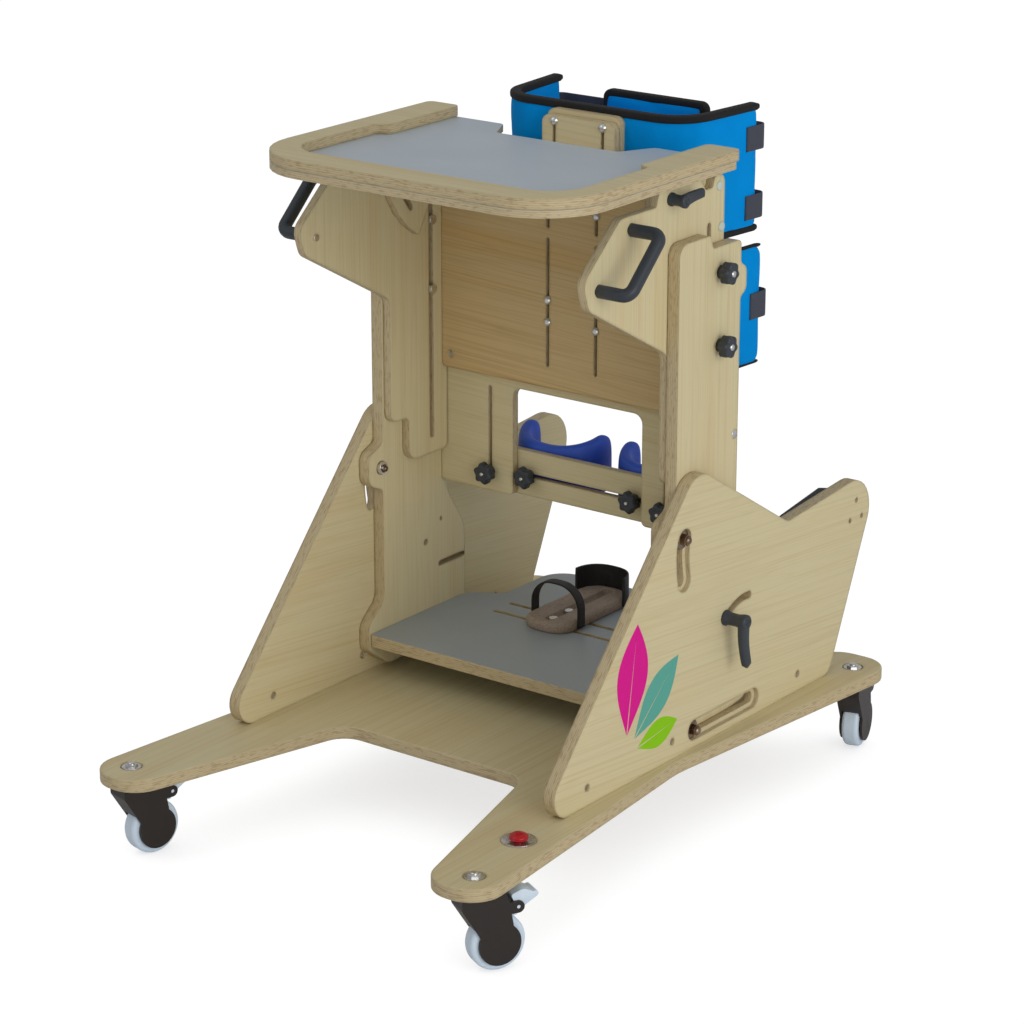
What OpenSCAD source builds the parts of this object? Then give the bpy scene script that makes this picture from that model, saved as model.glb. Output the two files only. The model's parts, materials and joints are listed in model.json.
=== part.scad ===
// Standing frame in plywood: a wheeled base with two side panels, a tilting
// lower frame that slides in curved tracks, and a height-adjustable upper
// frame that carries a tray, a chest support and a hip support.
// Shapes are drawn from the front castor bolts and the top of the base board.

/* [Base] */
// Distance between the left and right castor bolts
castor_track = 574; // [560:1:600]
// Distance between the front and rear castor bolts
wheelbase = 887; // [870:1:930]
// Thickness of the base board
base_t = 18; // [16:0.5:22]
// Radius of the rounded end of each leg
lobe_r = 45; // [42:1:52]
// Half width of the gap between the front legs
front_gap_half = 153; // [145:1:180]
// Depth of the front gap behind the front castor bolts
front_gap_depth = 281; // [260:1:320]
// Inner corner radius of the front gap
front_gap_r = 35; // [20:1:60]
// Half width of the cut between the rear legs
rear_gap_half = 190; // [170:1:200]
// Depth of the rear cut ahead of the rear castor bolts
rear_gap_depth = 17; // [5:1:40]
// Inner corner radius of the rear cut
rear_gap_r = 40; // [20:1:50]

/* [Castors] */
// Height of a castor under the base board
castor_h = 112; // [108:1:125]
// Wheel diameter
wheel_d = 75; // [70:1:78]
// Width of the tyre
tyre_w = 24; // [20:1:26]
// Trail of the wheel behind the castor bolt
trail = 28; // [25:1:30]
// Length of the castor hood
fork_len = 70; // [66:1:76]
// Radius of the castor bolt
castor_bolt_r = 5; // [4:0.5:6]
// Radius of the wheel axle
axle_r = 4; // [3:0.5:5]

/* [Side panels] */
// Width over the two side panels
frame_w = 550; // [540:1:560]
// Thickness of a side panel
panel_t = 18; // [16:0.5:20]
// Front end of a side panel, behind the front castor bolts
panel_front = 146; // [120:1:160]
// Length of a side panel
panel_len = 820; // [800:1:840]
// Height of a side panel
panel_h = 396; // [380:1:420]
// Diameter of the circle of accessory holes
accessory_pcd = 36; // [30:1:40]
// Radius of an accessory hole
accessory_hole_r = 3.5; // [2:0.5:5]

/* [Tilt] */
// Lower pivot, behind the front castor bolts
low_y = 500; // [480:1:520]
// Lower pivot, above the base board
low_z = 26; // [24:1:32]
// Upper pivot, ahead of the lower one
up_lead = 30; // [20:1:40]
// Upper pivot, above the lower one
up_rise = 278; // [265:1:285]
// Clamp lever, behind the lower pivot
mid_back = 70; // [55:1:80]
// Clamp lever, above the lower pivot
mid_rise = 140; // [120:1:150]
// Run of the lower pivot along its track
low_run = 142.7; // [120:0.1:150]
// Largest forward tilt in degrees
tilt_max = 32; // [20:1:34]
// Radius of the pivot bolts
pivot_r = 5; // [4:0.5:6]
// Radius of the bush that runs in a track
bush_r = 8; // [7:0.5:9]

/* [Uprights] */
// Thickness of a lower upright
lower_t = 18; // [16:0.5:20]
// Front edge of a lower upright
lower_front = 440; // [430:1:450]
// Depth of a lower upright at its foot
lower_depth = 220; // [210:1:230]
// Top of a lower upright above the base board
lower_h = 695; // [685:1:710]
// Thickness of an upper upright
upper_t = 12; // [10:0.5:15]
// Front end of the wing of an upper upright
upper_front = 291; // [280:1:300]
// Depth of an upper upright from the wing to the main board
upper_depth = 314; // [305:1:320]
// Lower end of an upper upright, below the top of a lower one
upper_foot = 392; // [380:1:400]
// Height of an upper upright
upper_h = 465; // [455:1:475]
// Largest rise of the upper frame
height_run = 200; // [100:1:210]

/* [Boards] */
// Thickness of the main board
main_t = 12; // [10:0.5:14]
// Lower edge of the main board, above the lower end of the upper uprights
main_foot = 123; // [112:1:137]
// Height of the main board
main_h = 334; // [325:1:340]
// Thickness of the knee board
knee_t = 12; // [10:0.5:14]
// Lower edge of the knee board
knee_foot = 252; // [240:1:262]
// Height of the knee board
knee_h = 188; // [182:1:195]
// Half width of the knee board's window
window_half = 110; // [108:1:118]
// Thickness of the footplate
foot_t = 18; // [15:0.5:20]
// Underside of the footplate above the base board
foot_z = 46; // [42:1:52]
// Length of the footplate
foot_len = 380; // [360:1:400]

/* [Tray] */
// Width of the tray
tray_w = 516; // [500:1:530]
// Length of the tray board
tray_len = 395; // [385:1:405]
// Thickness of the tray board
tray_t = 10; // [8:0.5:12]
// Height of the tray rim
rim_h = 15; // [10:0.5:20]
// Width of the front rim
rim_front = 50; // [40:1:60]
// Width of the side rim
rim_side = 36; // [30:1:42]
// Underside of the tray above the tray pivot
tray_rise = 23; // [22:0.5:28]
// Largest tilt of the tray in degrees
tray_tilt = 45; // [20:1:45]

/* [Pads] */
// Thickness of the chest and hip pads
pad_t = 14; // [10:0.5:18]
// Half width of a pad at its front corners
pad_half = 150; // [140:1:160]
// Reach of the chest pad's arms behind its front face
pad_reach = 157; // [150:1:170]
// Height of the chest pad
chest_pad_h = 178; // [165:1:185]
// Reach of the hip pad's arms behind its front face
hip_reach = 183; // [170:1:190]
// Height of the hip pad
hip_pad_h = 170; // [150:1:174]
// Thickness of a knee cup
cup_t = 20; // [16:0.5:24]
// Half width of a knee cup over its wings
cup_half = 72; // [66:1:74]

/* [Sandals] */
// Length of a sandal sole
sole_len = 180; // [165:1:190]
// Width of a sandal sole
sole_w = 78; // [74:1:80]
// Thickness of a sandal sole
sole_t = 14; // [12:0.5:18]
// Height of the toe strap above the footplate
strap_h = 62; // [50:1:75]

/* [Hidden] */
$fn = 48;

// Colours
ply = "burlywood";
film = "slategray";
steel = "silver";
dark = "dimgray";
blue = "dodgerblue";
deep_blue = "royalblue";
webbing = "darkslategray";
hood = "saddlebrown";
tyre = "lightsteelblue";

// Fits and allowances
fit = 0.05;
seat = 0.3;
side_gap = 0.2;
slide_gap = 1;
cut = 1;
arc_step = 12;
edge_r = 8;

// Planes across the frame, from outside to inside, as half widths
panel_out = frame_w / 2;
panel_in = panel_out - panel_t;
panel_mid = panel_out - panel_t / 2;
lower_out = panel_in - slide_gap;
lower_in = lower_out - lower_t;
upper_out = lower_in - slide_gap;
upper_in = upper_out - upper_t;
board_half = upper_in - side_gap;
knee_half = lower_in - side_gap;

// Castor places and the angle of each castor's trail
castor_x = castor_track / 2;
fl = [-1, 0, 77];
fr = [1, 0, 62];
rl = [-1, 1, 118];
rr = [1, 1, 106];

// Castor details, along the trail and up from the floor
wheel_r = wheel_d / 2;
fork_half = 17;
fork_slack = 1.5;
tyre_gap = 2.5;
bolt_hold = 24;
castor_recess_r = 15;
castor_recess_depth = 4;
castor_head_r = 13;
castor_head_h = 3.2;
fork_outline_shares = [[-0.34, 1, 0.06], [-0.34, 0.82, 0.11], [0.2, 0.27, 0.14], [0.57, 0.25, 0.17],
    [0.66, 0.54, 0.21], [0.57, 0.85, 0.17], [0.49, 1, 0.09]];
cheek_share = 0.76;
axle_end = 1.2;
pin_end = 0.4;
tyre_inner_share = 0.69;
tyre_shoulder_share = 0.24;
hub_boss_share = 0.28;
hub_web_share = 0.4;
hub_rim_share = 0.6;
hub_dish_share = 0.66;
pedal_pivot_shares = [0.757, 0.75];
pedal_tip_shares = [1.11, 0.857];
ear_r = 8;
ear_root = 18;
pedal_hub_r = 6;
pedal_room = 8.5;
pedal_tip_r = 4;
blade_heel = [-9, 16];
blade_crown = [8, 22];
blade_under = [0, -6];
blade_r = 2.5;
blade_crown_r = 12;
pin_r = 2.5;
cam_r = 5;
cam_reach = 8;

// Base details
lobe_round_share = 0.98;
waist_lip = 10;
waist_share = 0.505;
waist_r = 200;
panel_bolt_shares = [0.132, 0.368, 0.746];
panel_bolt_r = 3;
panel_head_r = 6;
panel_head_h = 4;
barrel_r = 5;
barrel_recess = 4;
barrel_z = 26;
bolt_past_barrel = 9;
button_x = 267;
button_y = 118;
button_cup_r = 23;
button_cup_depth = 3;
button_cup_floor = 1.5;
button_cup_lip = 0.8;
button_r = 12.5;
button_dome_h = 5;
button_wall = 4;
button_rest = 1.8;
button_stem_r = 6;
button_collar_r = 9;
button_collar_h = 3;
button_room = 0.8;

// Side panel details
panel_outline_shares = [[0, 0, 0.076], [0.848, 0, 0.063], [1, 0.712, 0.121],
    [0.702, 0.659, 0.063], [0.428, 1, 0.101]];
accessory_shares = [0.922, 0.571];
accessory_count = 3;
rear_pad_shares = [[0.724, 0.586], [0.905, 0.586], [0.905, 0.656], [0.859, 0.682], [0.735, 0.645]];
rear_pad_t = 16;
track_steps = 10;
track_recess = 7;
washer_r = 14;
washer_t = 2.5;
washer_room = 0.7;
pivot_head_r = 9;
pivot_head_h = 6;
pivot_nut_r = 8;
pivot_nut_h = 9;
stud_r = 4.5;
stud_room = 1;

// Lower upright details
low = [low_y, low_z];
up = low + [-up_lead, up_rise];
mid = low + [mid_back, mid_rise];
lower_outline_shares = [[0, 0.055, 0.06], [0.19, 0.012, 0.09], [0.37, 0.012, 0.09], [1, 0.032, 0.11],
    [1, 0.245, 0.18], [0.814, 0.338, 0.18], [0.814, 0.86, 0.036], [0.877, 0.872, 0.05],
    [0.877, 0.915, 0.05],
    [0.814, 0.927, 0.036], [0.814, 0.973, 0.036], [0.514, 0.973, 0.018], [0.477, 1, 0.018], [0.16, 1, 0.08],
    [0.16, 0.486, 0.05], [0.02, 0.468, 0.07], [0.02, 0.407, 0.09], [0.16, 0.388, 0.05], [0.16, 0.151, 0.11],
    [0, 0.108, 0.09]];
strap_slot_shares = [[0.74, 0.18], [0.98, 0.18]];
strap_slot_r = 4;
cord_hole_shares = [0.75, 0.278];
cord_hole_r = 3;
height_y = 570;
height_drops = [152, 53];
height_zs = [for (d = height_drops) lower_h - d];
height_bolt_r = 4;
height_head_r = 7;
height_head_h = 5;
height_slot_end = 13;
height_slot_foot = height_zs[0] - height_run - height_slot_end;
height_slot_top = 68;
slot_room = 0.4;
screw_r = 3;
screw_head_r = 6;
screw_head_h = 3;
screw_len = 36;

// Knob and lever details
knob_r = 16;
knob_h = 14;
knob_collar_r = 9;
knob_collar_h = 7;
knob_lobes = 6;
knob_points = 48;
knob_lobe_share = 0.22;
knob_stud_grip = 22;
knob_tip = 0.7;
lever_hub_r = 9;
lever_hub_h = 36;
lever_arm = 63;
lever_arm_t = 11;
lever_tip_r = 6;
lever_swing = 8;
tray_lever_hub_h = 25;
tray_lever_arm = 46;
tray_lever_arm_t = 9;
tray_lever_turn = 5;

// Upper upright details
upper_z = lower_h - upper_foot;
main_z = upper_z + main_foot;
upper_outline_shares = [[0.723, 0, 0.06], [1, 0, 0.03], [1, 0.996, 0.045], [0.93, 0.996, 0.025],
    [0.911, 0.961, 0.016], [0.857, 0.961, 0.016], [0.818, 1, 0.02], [0.525, 1, 0.02], [0.5, 0.957, 0.013],
    [0.252, 0.957, 0.064], [0, 0.811, 0.064], [0.038, 0.731, 0.064], [0.597, 0.525, 0.06],
    [0.597, 0.14, 0.045],
    [0.723, 0.14, 0.03]];
tray_pivot_shares = [0.962, 0.961];
tray_bolt_r = 4;
tray_head_r = 8;
tray_head_h = 5;
clamp_back = 112.5;
clamp_angle = 178.5;
handle_feet_shares = [[0.325, 0.918], [0.104, 0.778]];
handle_r = 8;
handle_off = 47;
knuckle_r = 8.8;
handle_screw_r = 2.5;
handle_screw_head_r = 5;
handle_screw_head_h = 3;
handle_screw_grip = 16;

// Main board details
board_screw_zs = [20, 268];
barrel_in = 15;
main_notch = 30;
main_notch_h = 32;
slot_half_gap = 40.4;
board_slot_r = 2.2;
lower_slot_foot = 33;
lower_slot_top = 210;
upper_slot_foot = 229;
upper_slot_top = 324;
main_back = upper_front + upper_depth;
main_face = main_back - main_t;

// Knee board, bar and cups
knee_gap = 1.5;
knee_face = main_back + knee_gap;
knee_back = knee_face + knee_t;
window_h = 159;
window_r = 14;
knee_screw_zs = [275, 410];
bar_slot_x = 150;
bar_slot_foot = 275;
bar_slot_top = 404;
bar_knob_z = 281;
bar_gap = 0.5;
bar_t = 12;
bar_half = 172;
bar_h = 66;
bar_r = 12;
cup_slot_half = 105;
cup_knob_x = 90;
cup_knob_z = 282.5;
cup_left_x = 76;
cup_right_x = 98;
cup_reach = 74;
cup_corner_r = 46;
cup_foot = 255;
cup_dip = 326;
cup_top = 346;
cup_end_drop = 26;
cup_flare_share = 1.6;
cup_round_share = 0.75;
cup_wing_rings = 2;
cup_front_rings = 4;
knob_stud_r = 2.5;
bar_face = knee_back + bar_gap;
bar_back = bar_face + bar_t;

// Footplate and sandal details
foot_wide = 225;
foot_narrow_half = 188;
foot_neck = 250;
foot_rear_r = 40;
foot_front_r = 6;
foot_screw_shares = [0.21, 0.53];
sandal_bolt_ys = [625, 663];
lateral_slot_half = 155;
lateral_slot_r = 4;
sandal_left_x = 52;
sandal_right_x = 118;
sandal_bolt_r = 3;
sandal_head_r = 8;
sandal_head_h = 4;
sandal_cap_r = 6.5;
sandal_cap_h = 4;
sole_front = 594;
sole_slot_start = 24;
sole_slot_end = 20;
sole_recess_r = 7;
sole_recess_depth = 6;
sole_toe_share = 0.43;
sole_heel_share = 0.49;
strap_t = 3;
toe_strap_start = 34;
toe_strap_w = 17;
toe_strap_r = 34;
strap_seat = 2;
heel_cup_len = 38;
heel_cup_h = 44;

// Tray details
tray_front = 211;
tray_corner_r = 98;
tray_inner_r = 55;
tray_tail_r = 10;
tray_small_r = 8;
belly_half = 100;
belly_mouth_half = 125;
belly_depth = 50;
rail_w = 54;
rail_step = 247;
rail_past = 6;
bracket_t = 12;
bracket_gap = 0.5;
bracket_r = 136;
bracket_end = 242;
bracket_boss_start = 250;
bracket_boss_r = 16;
bracket_slot_r = 4.6;
tray_stud_r = 4;

// Chest and hip support details
post_gap = 0.5;
post_t = 12;
post_half = 60;
post_foot = 234;
post_h = 146;
post_r = 12;
post_slot_foot = 319;
post_slot_top = 377;
post_bolt_zs = [254, 289];
post_bolt_x = 40;
post_bolt_r = 2;
dome_r = 6.5;
dome_h = 4.5;
chest_plate_foot = 229;
chest_plate_h = 157;
chest_bolt_z = 372;
chest_pad_foot = 216;
hip_plate_t = 15;
hip_plate_foot = 74;
hip_plate_h = 100;
hip_bolt_zs = [94, 125];
hip_pad_foot = 25;
pad_corner_r = 53;
pad_flare = 15;
pad_rings = 5;
pad_sides = 16;
pad_crown_share = 0.4;
pad_edge_share = 0.45;
pad_end_share = 0.55;
back_pad_t = 19;
back_pad_half = 86;
back_pad_foot = 229;
back_pad_h = 153;
back_pad_gap = 12;
belt_t = 2.5;
belt_len = 30;
belt_r = 10;
belt_room = 10;
chest_belt_feet = [235, 330];
chest_belt_h = 37;
hip_belt_foot = 88;
hip_belt_h = 45;
post_face = main_back + post_gap;
post_back = post_face + post_t;
plate_face = post_back + post_gap;
plate_back = plate_face + post_t;
chest_pad_y = plate_back + seat;
hip_plate_back = post_face + hip_plate_t;
hip_pad_y = hip_plate_back + seat;

// Height of the base top, and the middle of the whole part from front to back
base_top = castor_h + base_t;
fork_top = castor_h - seat;
pedal_pivot = [fork_len * pedal_pivot_shares[0], castor_h * pedal_pivot_shares[1]];
pedal_tip = [fork_len * pedal_tip_shares[0], castor_h * pedal_tip_shares[1]];
pedal_half = tyre_w / 2 + fork_slack - seat;
rear_reach = wheelbase + (pedal_tip[0] + pedal_tip_r) * sin(rr[2]) + pedal_half * abs(cos(rr[2]));
datum_y = (rear_reach - lobe_r) / 2;

// Tray pivot and clamp stud, as seen from the side
tray_pivot = [upper_front + upper_depth * tray_pivot_shares[0], upper_z + upper_h * tray_pivot_shares[1]];
tray_clamp = tray_pivot + clamp_back * [cos(clamp_angle), sin(clamp_angle)];
tray_z = tray_pivot[1] + tray_rise;
tray_half = tray_w / 2;
tray_back = tray_front + tray_len;

// Plane geometry
function unit(v) = v / norm(v);
function turn(v, a) = [v[0] * cos(a) - v[1] * sin(a), v[0] * sin(a) + v[1] * cos(a)];
function heading(v) = atan2(v[1], v[0]);
function signed_power(v, e) = sign(v) * pow(abs(v), e);

// Points of an arc about c
function arc(c, r, a0, a1) = let (n = max(2, ceil(abs(a1 - a0) / arc_step)))
    [for (i = [0:n]) let (a = a0 + (a1 - a0) * i / n) c + r * [cos(a), sin(a)]];

// Round of radius r at the corner q between p and s
function corner(p, q, s, r) = r == 0 ? [q] :
    let (u = unit(p - q), v = unit(s - q))
    let (half = acos(u * v) / 2, side = cross(u, v) < 0 ? 1 : -1)
    let (c = q + unit(u + v) * r / sin(half), start = q + u * r / tan(half) - c)
    let (sweep = 180 - 2 * half, n = max(2, ceil(sweep / arc_step)))
    [for (i = [0:n]) c + turn(start, side * sweep * i / n)];

// Closed outline through [x, y, radius] points
function rounded(pts) = let (n = len(pts), at = [for (p = pts) [p[0], p[1]]])
    [for (i = [0:n - 1]) each corner(at[(i + n - 1) % n], at[i], at[(i + 1) % n], pts[i][2])];

// Outline given as shares of a width and a height, with radii as shares of round_by
function scaled_outline(shares, origin, size, round_by) =
    rounded([for (s = shares) [origin[0] + s[0] * size[0], origin[1] + s[1] * size[1], s[2] * round_by]]);

// Rectangle with rounded corners
function round_box(x0, x1, z0, z1, r) = rounded([[x0, z0, r], [x1, z0, r], [x1, z1, r], [x0, z1, r]]);

// Outline of a slot between two points
function stadium(p, q, r) = let (a = heading(q - p))
    concat(arc(p, r, a + 90, a + 270), arc(q, r, a - 90, a + 90));

// Outline round two circles of different sizes
function link(p, rp, q, rq) = let (a = heading(q - p), b = acos((rp - rq) / norm(q - p)))
    concat(arc(p, rp, a + b, a + 360 - b), arc(q, rq, a - b, a + b));

// Direction of a path at its point i
function along(path, i) = unit(path[min(i + 1, len(path) - 1)] - path[max(i - 1, 0)]);

// Strip beside a path, from offset a to offset b on its left
function strip(path, a, b) = let (n = len(path) - 1) concat(
    [for (i = [0:n]) path[i] + a * turn(along(path, i), 90)],
    [for (i = [n:-1:0]) path[i] + b * turn(along(path, i), 90)]);

// Slot of half width r along a path, with round ends
function track_slot(path, r) = let (n = len(path) - 1)
    let (a = heading(along(path, 0)), b = heading(along(path, n)))
    concat([for (i = [0:n]) path[i] - r * turn(along(path, i), 90)], arc(path[n], r, b - 90, b + 90),
        [for (i = [n:-1:0]) path[i] + r * turn(along(path, i), 90)], arc(path[0], r, a + 90, a + 270));

// Place of a lower frame point p when the frame is tilted, and its track over the whole tilt
function tilted(p, a) = low + [low_run * a / tilt_max, 0] + turn(p - low, a);
function track(p) = [for (i = [0:track_steps]) tilted(p, tilt_max * i / track_steps)];

// Solids along the three axes
module plate_x(x0, x1, pts) translate([x0, 0, 0]) rotate([90, 0, 90]) linear_extrude(x1 - x0) polygon(pts);
module plate_y(y0, y1, pts) translate([0, y1, 0]) rotate([90, 0, 0]) linear_extrude(y1 - y0) polygon(pts);
module plate_z(z0, z1, pts) translate([0, 0, z0]) linear_extrude(z1 - z0) polygon(pts);
module rod_x(x0, x1, at, r) translate([x0, at[0], at[1]]) rotate([0, 90, 0]) cylinder(h = x1 - x0, r = r);
module rod_y(y0, y1, at, r) translate([at[0], y0, at[1]]) rotate([-90, 0, 0]) cylinder(h = y1 - y0, r = r);
module rod_z(z0, z1, at, r) translate([at[0], at[1], z0]) cylinder(h = z1 - z0, r = r);
module hex_x(x0, x1, at, r) translate([x0, at[0], at[1]]) rotate([0, 90, 0])
    cylinder(h = x1 - x0, r = r, $fn = 6);

// Domed head of radius r and height h that rises towards -Y from the plane y
module dome_y(y, at, r, h) translate([at[0], y, at[1]]) rotate([90, 0, 0]) dome(r, h);
module dome(r, h) let (ball = (r * r + h * h) / (2 * h)) intersection() {
    translate([0, 0, h - ball]) sphere(r = ball);
    cylinder(h = h, r = r);
}

// Moves a shape from the castor bolts and the base top to the part's own origin
module place() translate([0, -datum_y, base_top]) children();
// Moves a shape that is drawn from the lower edge of the main board
module at_board() place() translate([0, 0, main_z]) children();
module both_sides() {
    children();
    mirror([1, 0, 0]) children();
}
module left_side() mirror([1, 0, 0]) children();

// Closed skin through rings of points
module skin(rings) {
    n = len(rings[0]);
    last = (len(rings) - 1) * n;
    sides = [for (i = [0:len(rings) - 2], j = [0:n - 1])
        let (a = i * n + j, b = i * n + (j + 1) % n) each [[a, b + n, b], [a, a + n, b + n]]];
    ends = [for (j = [1:n - 2]) each [[0, j, j + 1], [last, last + j + 1, last + j]]];
    polyhedron([for (ring = rings) each ring], concat(sides, ends));
}

// Ring of a padded strip across a plan path: thickness t, from z0 to z1
function pad_ring(p, d, t, z0, z1) = [for (i = [0:pad_sides - 1]) let (a = 360 * i / pad_sides)
    let (side = t / 2 * signed_power(cos(a), pad_crown_share))
    let (rise = (1 + signed_power(sin(a), pad_edge_share)) / 2)
    let (at = p + side * turn(d, 90)) [at[0], at[1], z0 + (z1 - z0) * rise]];

// Padded strip along a plan path, thinner at its two ends
module padded_strip(path, t, z0, z1) let (n = len(path) - 1)
    skin([for (i = [0:n]) let (end_t = t * (i == 0 || i == n ? pad_end_share : 1))
        pad_ring(path[i], along(path, i), end_t, z0, z1)]);

// Straight run of points between p and q, without q
function run(p, q, n) = [for (i = [0:n - 1]) p + (q - p) * i / n];

// Plan of a support pad, along the middle of its thickness, whose front face is at y
function pad_path(y, reach) = let (mid_y = y + pad_t / 2, tip = [pad_half + pad_flare, y + reach])
    let (a = [pad_half, mid_y], b = [-pad_half, mid_y], end = [-tip[0], tip[1]])
    let (ca = corner(tip, a, b, pad_corner_r), cb = corner(a, b, end, pad_corner_r))
    concat(run(tip, ca[0], pad_rings), ca, run(ca[len(ca) - 1], cb[0], pad_rings), cb,
        [for (i = [1:pad_rings]) cb[len(cb) - 1] + (end - cb[len(cb) - 1]) * i / pad_rings]);

// Webbing belt that closes the open back of a pad whose front face is at y
module belt(y, reach, rear, z0, h) {
    tip = [pad_half + pad_flare, y + reach];
    slope = unit(tip - [pad_half, y + pad_t / 2]);
    out = turn(slope, -90) * (pad_t / 2 + seat + belt_t / 2);
    start = tip + out - slope * belt_len;
    back = start + slope * (rear + seat + belt_t / 2 - start[1]) / slope[1];
    path = concat([start], corner(start, back, [-back[0], back[1]], belt_r),
        corner(back, [-back[0], back[1]], [-start[0], start[1]], belt_r), [[-start[0], start[1]]]);
    plate_z(z0, z0 + h, strip(path, -belt_t / 2, belt_t / 2));
}

// Base board
function base_half() = [[front_gap_half, front_gap_depth, front_gap_r],
    [castor_x - lobe_r, -lobe_r, lobe_r * lobe_round_share],
    [castor_x + lobe_r, -lobe_r, lobe_r * lobe_round_share],
    [panel_out + waist_lip, wheelbase * waist_share, waist_r],
    [castor_x + lobe_r, wheelbase + lobe_r, lobe_r * lobe_round_share],
    [castor_x - lobe_r, wheelbase + lobe_r, lobe_r * lobe_round_share],
    [rear_gap_half, wheelbase - rear_gap_depth, rear_gap_r]];
function base_outline() = let (half = base_half(), n = len(half))
    rounded(concat(half, [for (i = [n - 1:-1:0]) [-half[i][0], half[i][1], half[i][2]]]));
panel_bolt_ys = [for (s = panel_bolt_shares) panel_front + panel_len * s];
button_at = [button_x, button_y];

module base_board() place() color(ply) difference() {
    plate_z(-base_t, 0, base_outline());
    for (x = [-castor_x, castor_x], y = [0, wheelbase]) {
        rod_z(-base_t - cut, cut, [x, y], castor_bolt_r + fit);
        rod_z(-castor_recess_depth, cut, [x, y], castor_recess_r);
    }
    both_sides() for (y = panel_bolt_ys) {
        rod_z(-base_t - cut, cut, [panel_mid, y], panel_bolt_r + fit);
        rod_z(-base_t - cut, panel_head_h - base_t, [panel_mid, y], panel_head_r + seat);
    }
    rod_z(-base_t - cut, cut, button_at, button_stem_r + fit);
    rod_z(-button_cup_depth, cut, button_at, button_cup_r + fit);
}

module base_hardware() place() color(steel) {
    for (x = [-castor_x, castor_x], y = [0, wheelbase]) union() {
        rod_z(-castor_recess_depth, castor_head_h - castor_recess_depth, [x, y], castor_head_r);
        rod_z(-base_t - bolt_hold, -castor_recess_depth, [x, y], castor_bolt_r);
    }
    both_sides() for (y = panel_bolt_ys) {
        union() {
            rod_z(-base_t, panel_head_h - base_t, [panel_mid, y], panel_head_r);
            rod_z(-base_t, barrel_z + bolt_past_barrel, [panel_mid, y], panel_bolt_r);
        }
        difference() {
            rod_x(panel_in + barrel_recess, panel_out - barrel_recess, [y, barrel_z], barrel_r);
            rod_z(-base_t, barrel_z + bolt_past_barrel, [panel_mid, y], panel_bolt_r + fit);
        }
    }
    translate([button_x, button_y, -button_cup_depth]) rotate_extrude() polygon([
        [button_stem_r + button_room, 0], [button_cup_r, 0],
        [button_cup_r, button_cup_depth + button_cup_lip],
        [button_r + button_room, button_cup_floor], [button_stem_r + button_room, button_cup_floor]]);
}

module red_button() place() color("crimson") translate([button_x, button_y, 0]) {
    translate([0, 0, button_rest + button_wall]) dome(button_r, button_dome_h);
    rod_z(button_rest, button_rest + button_wall, [0, 0], button_r);
    rod_z(-base_t - seat - button_collar_h, button_rest, [0, 0], button_stem_r);
    rod_z(-base_t - seat - button_collar_h, -base_t - seat, [0, 0], button_collar_r);
}

// Castors
module at_castor(c) place() translate([c[0] * castor_x, c[1] * wheelbase, -base_top]) rotate([0, 0, c[2]])
    children();

module castor_fork(c) at_castor(c) {
    color(hood) difference() {
        union() {
            plate_y(-fork_half, fork_half,
                scaled_outline(fork_outline_shares, [0, 0], [fork_len, fork_top], fork_len));
            plate_y(-fork_half, fork_half, stadium(pedal_pivot - [ear_root, 0], pedal_pivot, ear_r));
            rod_y(-fork_half, fork_half, [trail, wheel_r], wheel_r * cheek_share);
        }
        rod_y(-tyre_w / 2 - fork_slack, tyre_w / 2 + fork_slack, [trail, wheel_r], wheel_r + tyre_gap);
        rod_y(-tyre_w / 2 - fork_slack, tyre_w / 2 + fork_slack, pedal_pivot, pedal_hub_r + pedal_room);
        rod_y(-fork_half - cut, fork_half + cut, pedal_pivot, pin_r + fit);
        rod_y(axle_end - fork_half, fork_half + cut, [trail, wheel_r], axle_r + fit);
        rod_z(wheel_r, fork_top + cut, [0, 0], castor_bolt_r + fit);
    }
    color(steel) rod_y(axle_end + fit - fork_half, fork_half - axle_end, [trail, wheel_r], axle_r);
}

module castor_wheel(c) at_castor(c) translate([trail, 0, wheel_r]) rotate([90, 0, 0]) {
    inner = wheel_r * tyre_inner_share;
    shoulder = tyre_w * tyre_shoulder_share;
    dish = tyre_w / 2 * hub_dish_share;
    color(tyre) rotate_extrude() polygon(rounded([[inner, -tyre_w / 2, 0], [wheel_r, -tyre_w / 2, shoulder],
        [wheel_r, tyre_w / 2, shoulder], [inner, tyre_w / 2, 0]]));
    color(hood) rotate_extrude() polygon([[axle_r + fit, -tyre_w / 2],
        [wheel_r * hub_boss_share, -tyre_w / 2],
        [wheel_r * hub_web_share, -dish], [wheel_r * hub_rim_share, -dish], [inner - fit, -tyre_w / 2],
        [inner - fit, tyre_w / 2], [wheel_r * hub_rim_share, dish], [wheel_r * hub_web_share, dish],
        [wheel_r * hub_boss_share, tyre_w / 2], [axle_r + fit, tyre_w / 2]]);
}

module castor_pedal(c) at_castor(c) color(tyre) {
    rod_y(-pedal_half, pedal_half, pedal_pivot, pedal_hub_r);
    rod_y(pin_end - fork_half, fork_half - pin_end, pedal_pivot, pin_r);
    plate_y(-pedal_half, pedal_half, link(pedal_pivot, pedal_hub_r, pedal_tip, pedal_tip_r));
    plate_y(-pedal_half, pedal_half, rounded([concat(pedal_pivot + blade_heel, [blade_r]),
        concat(pedal_pivot + blade_crown, [blade_crown_r]), concat(pedal_tip + [pedal_tip_r, 0], [blade_r]),
        concat(pedal_pivot + blade_under, [blade_r])]));
    toward_wheel = unit([trail, wheel_r] - pedal_pivot);
    plate_y(-pedal_half, pedal_half,
        link(pedal_pivot, pedal_hub_r, pedal_pivot + cam_reach * toward_wheel, cam_r));
}

// Side panels
function panel_outline() = scaled_outline(panel_outline_shares, [panel_front, 0],
    [panel_len, panel_h], panel_h);
function panel_at(s) = [panel_front + panel_len * s[0], panel_h * s[1]];

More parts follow.
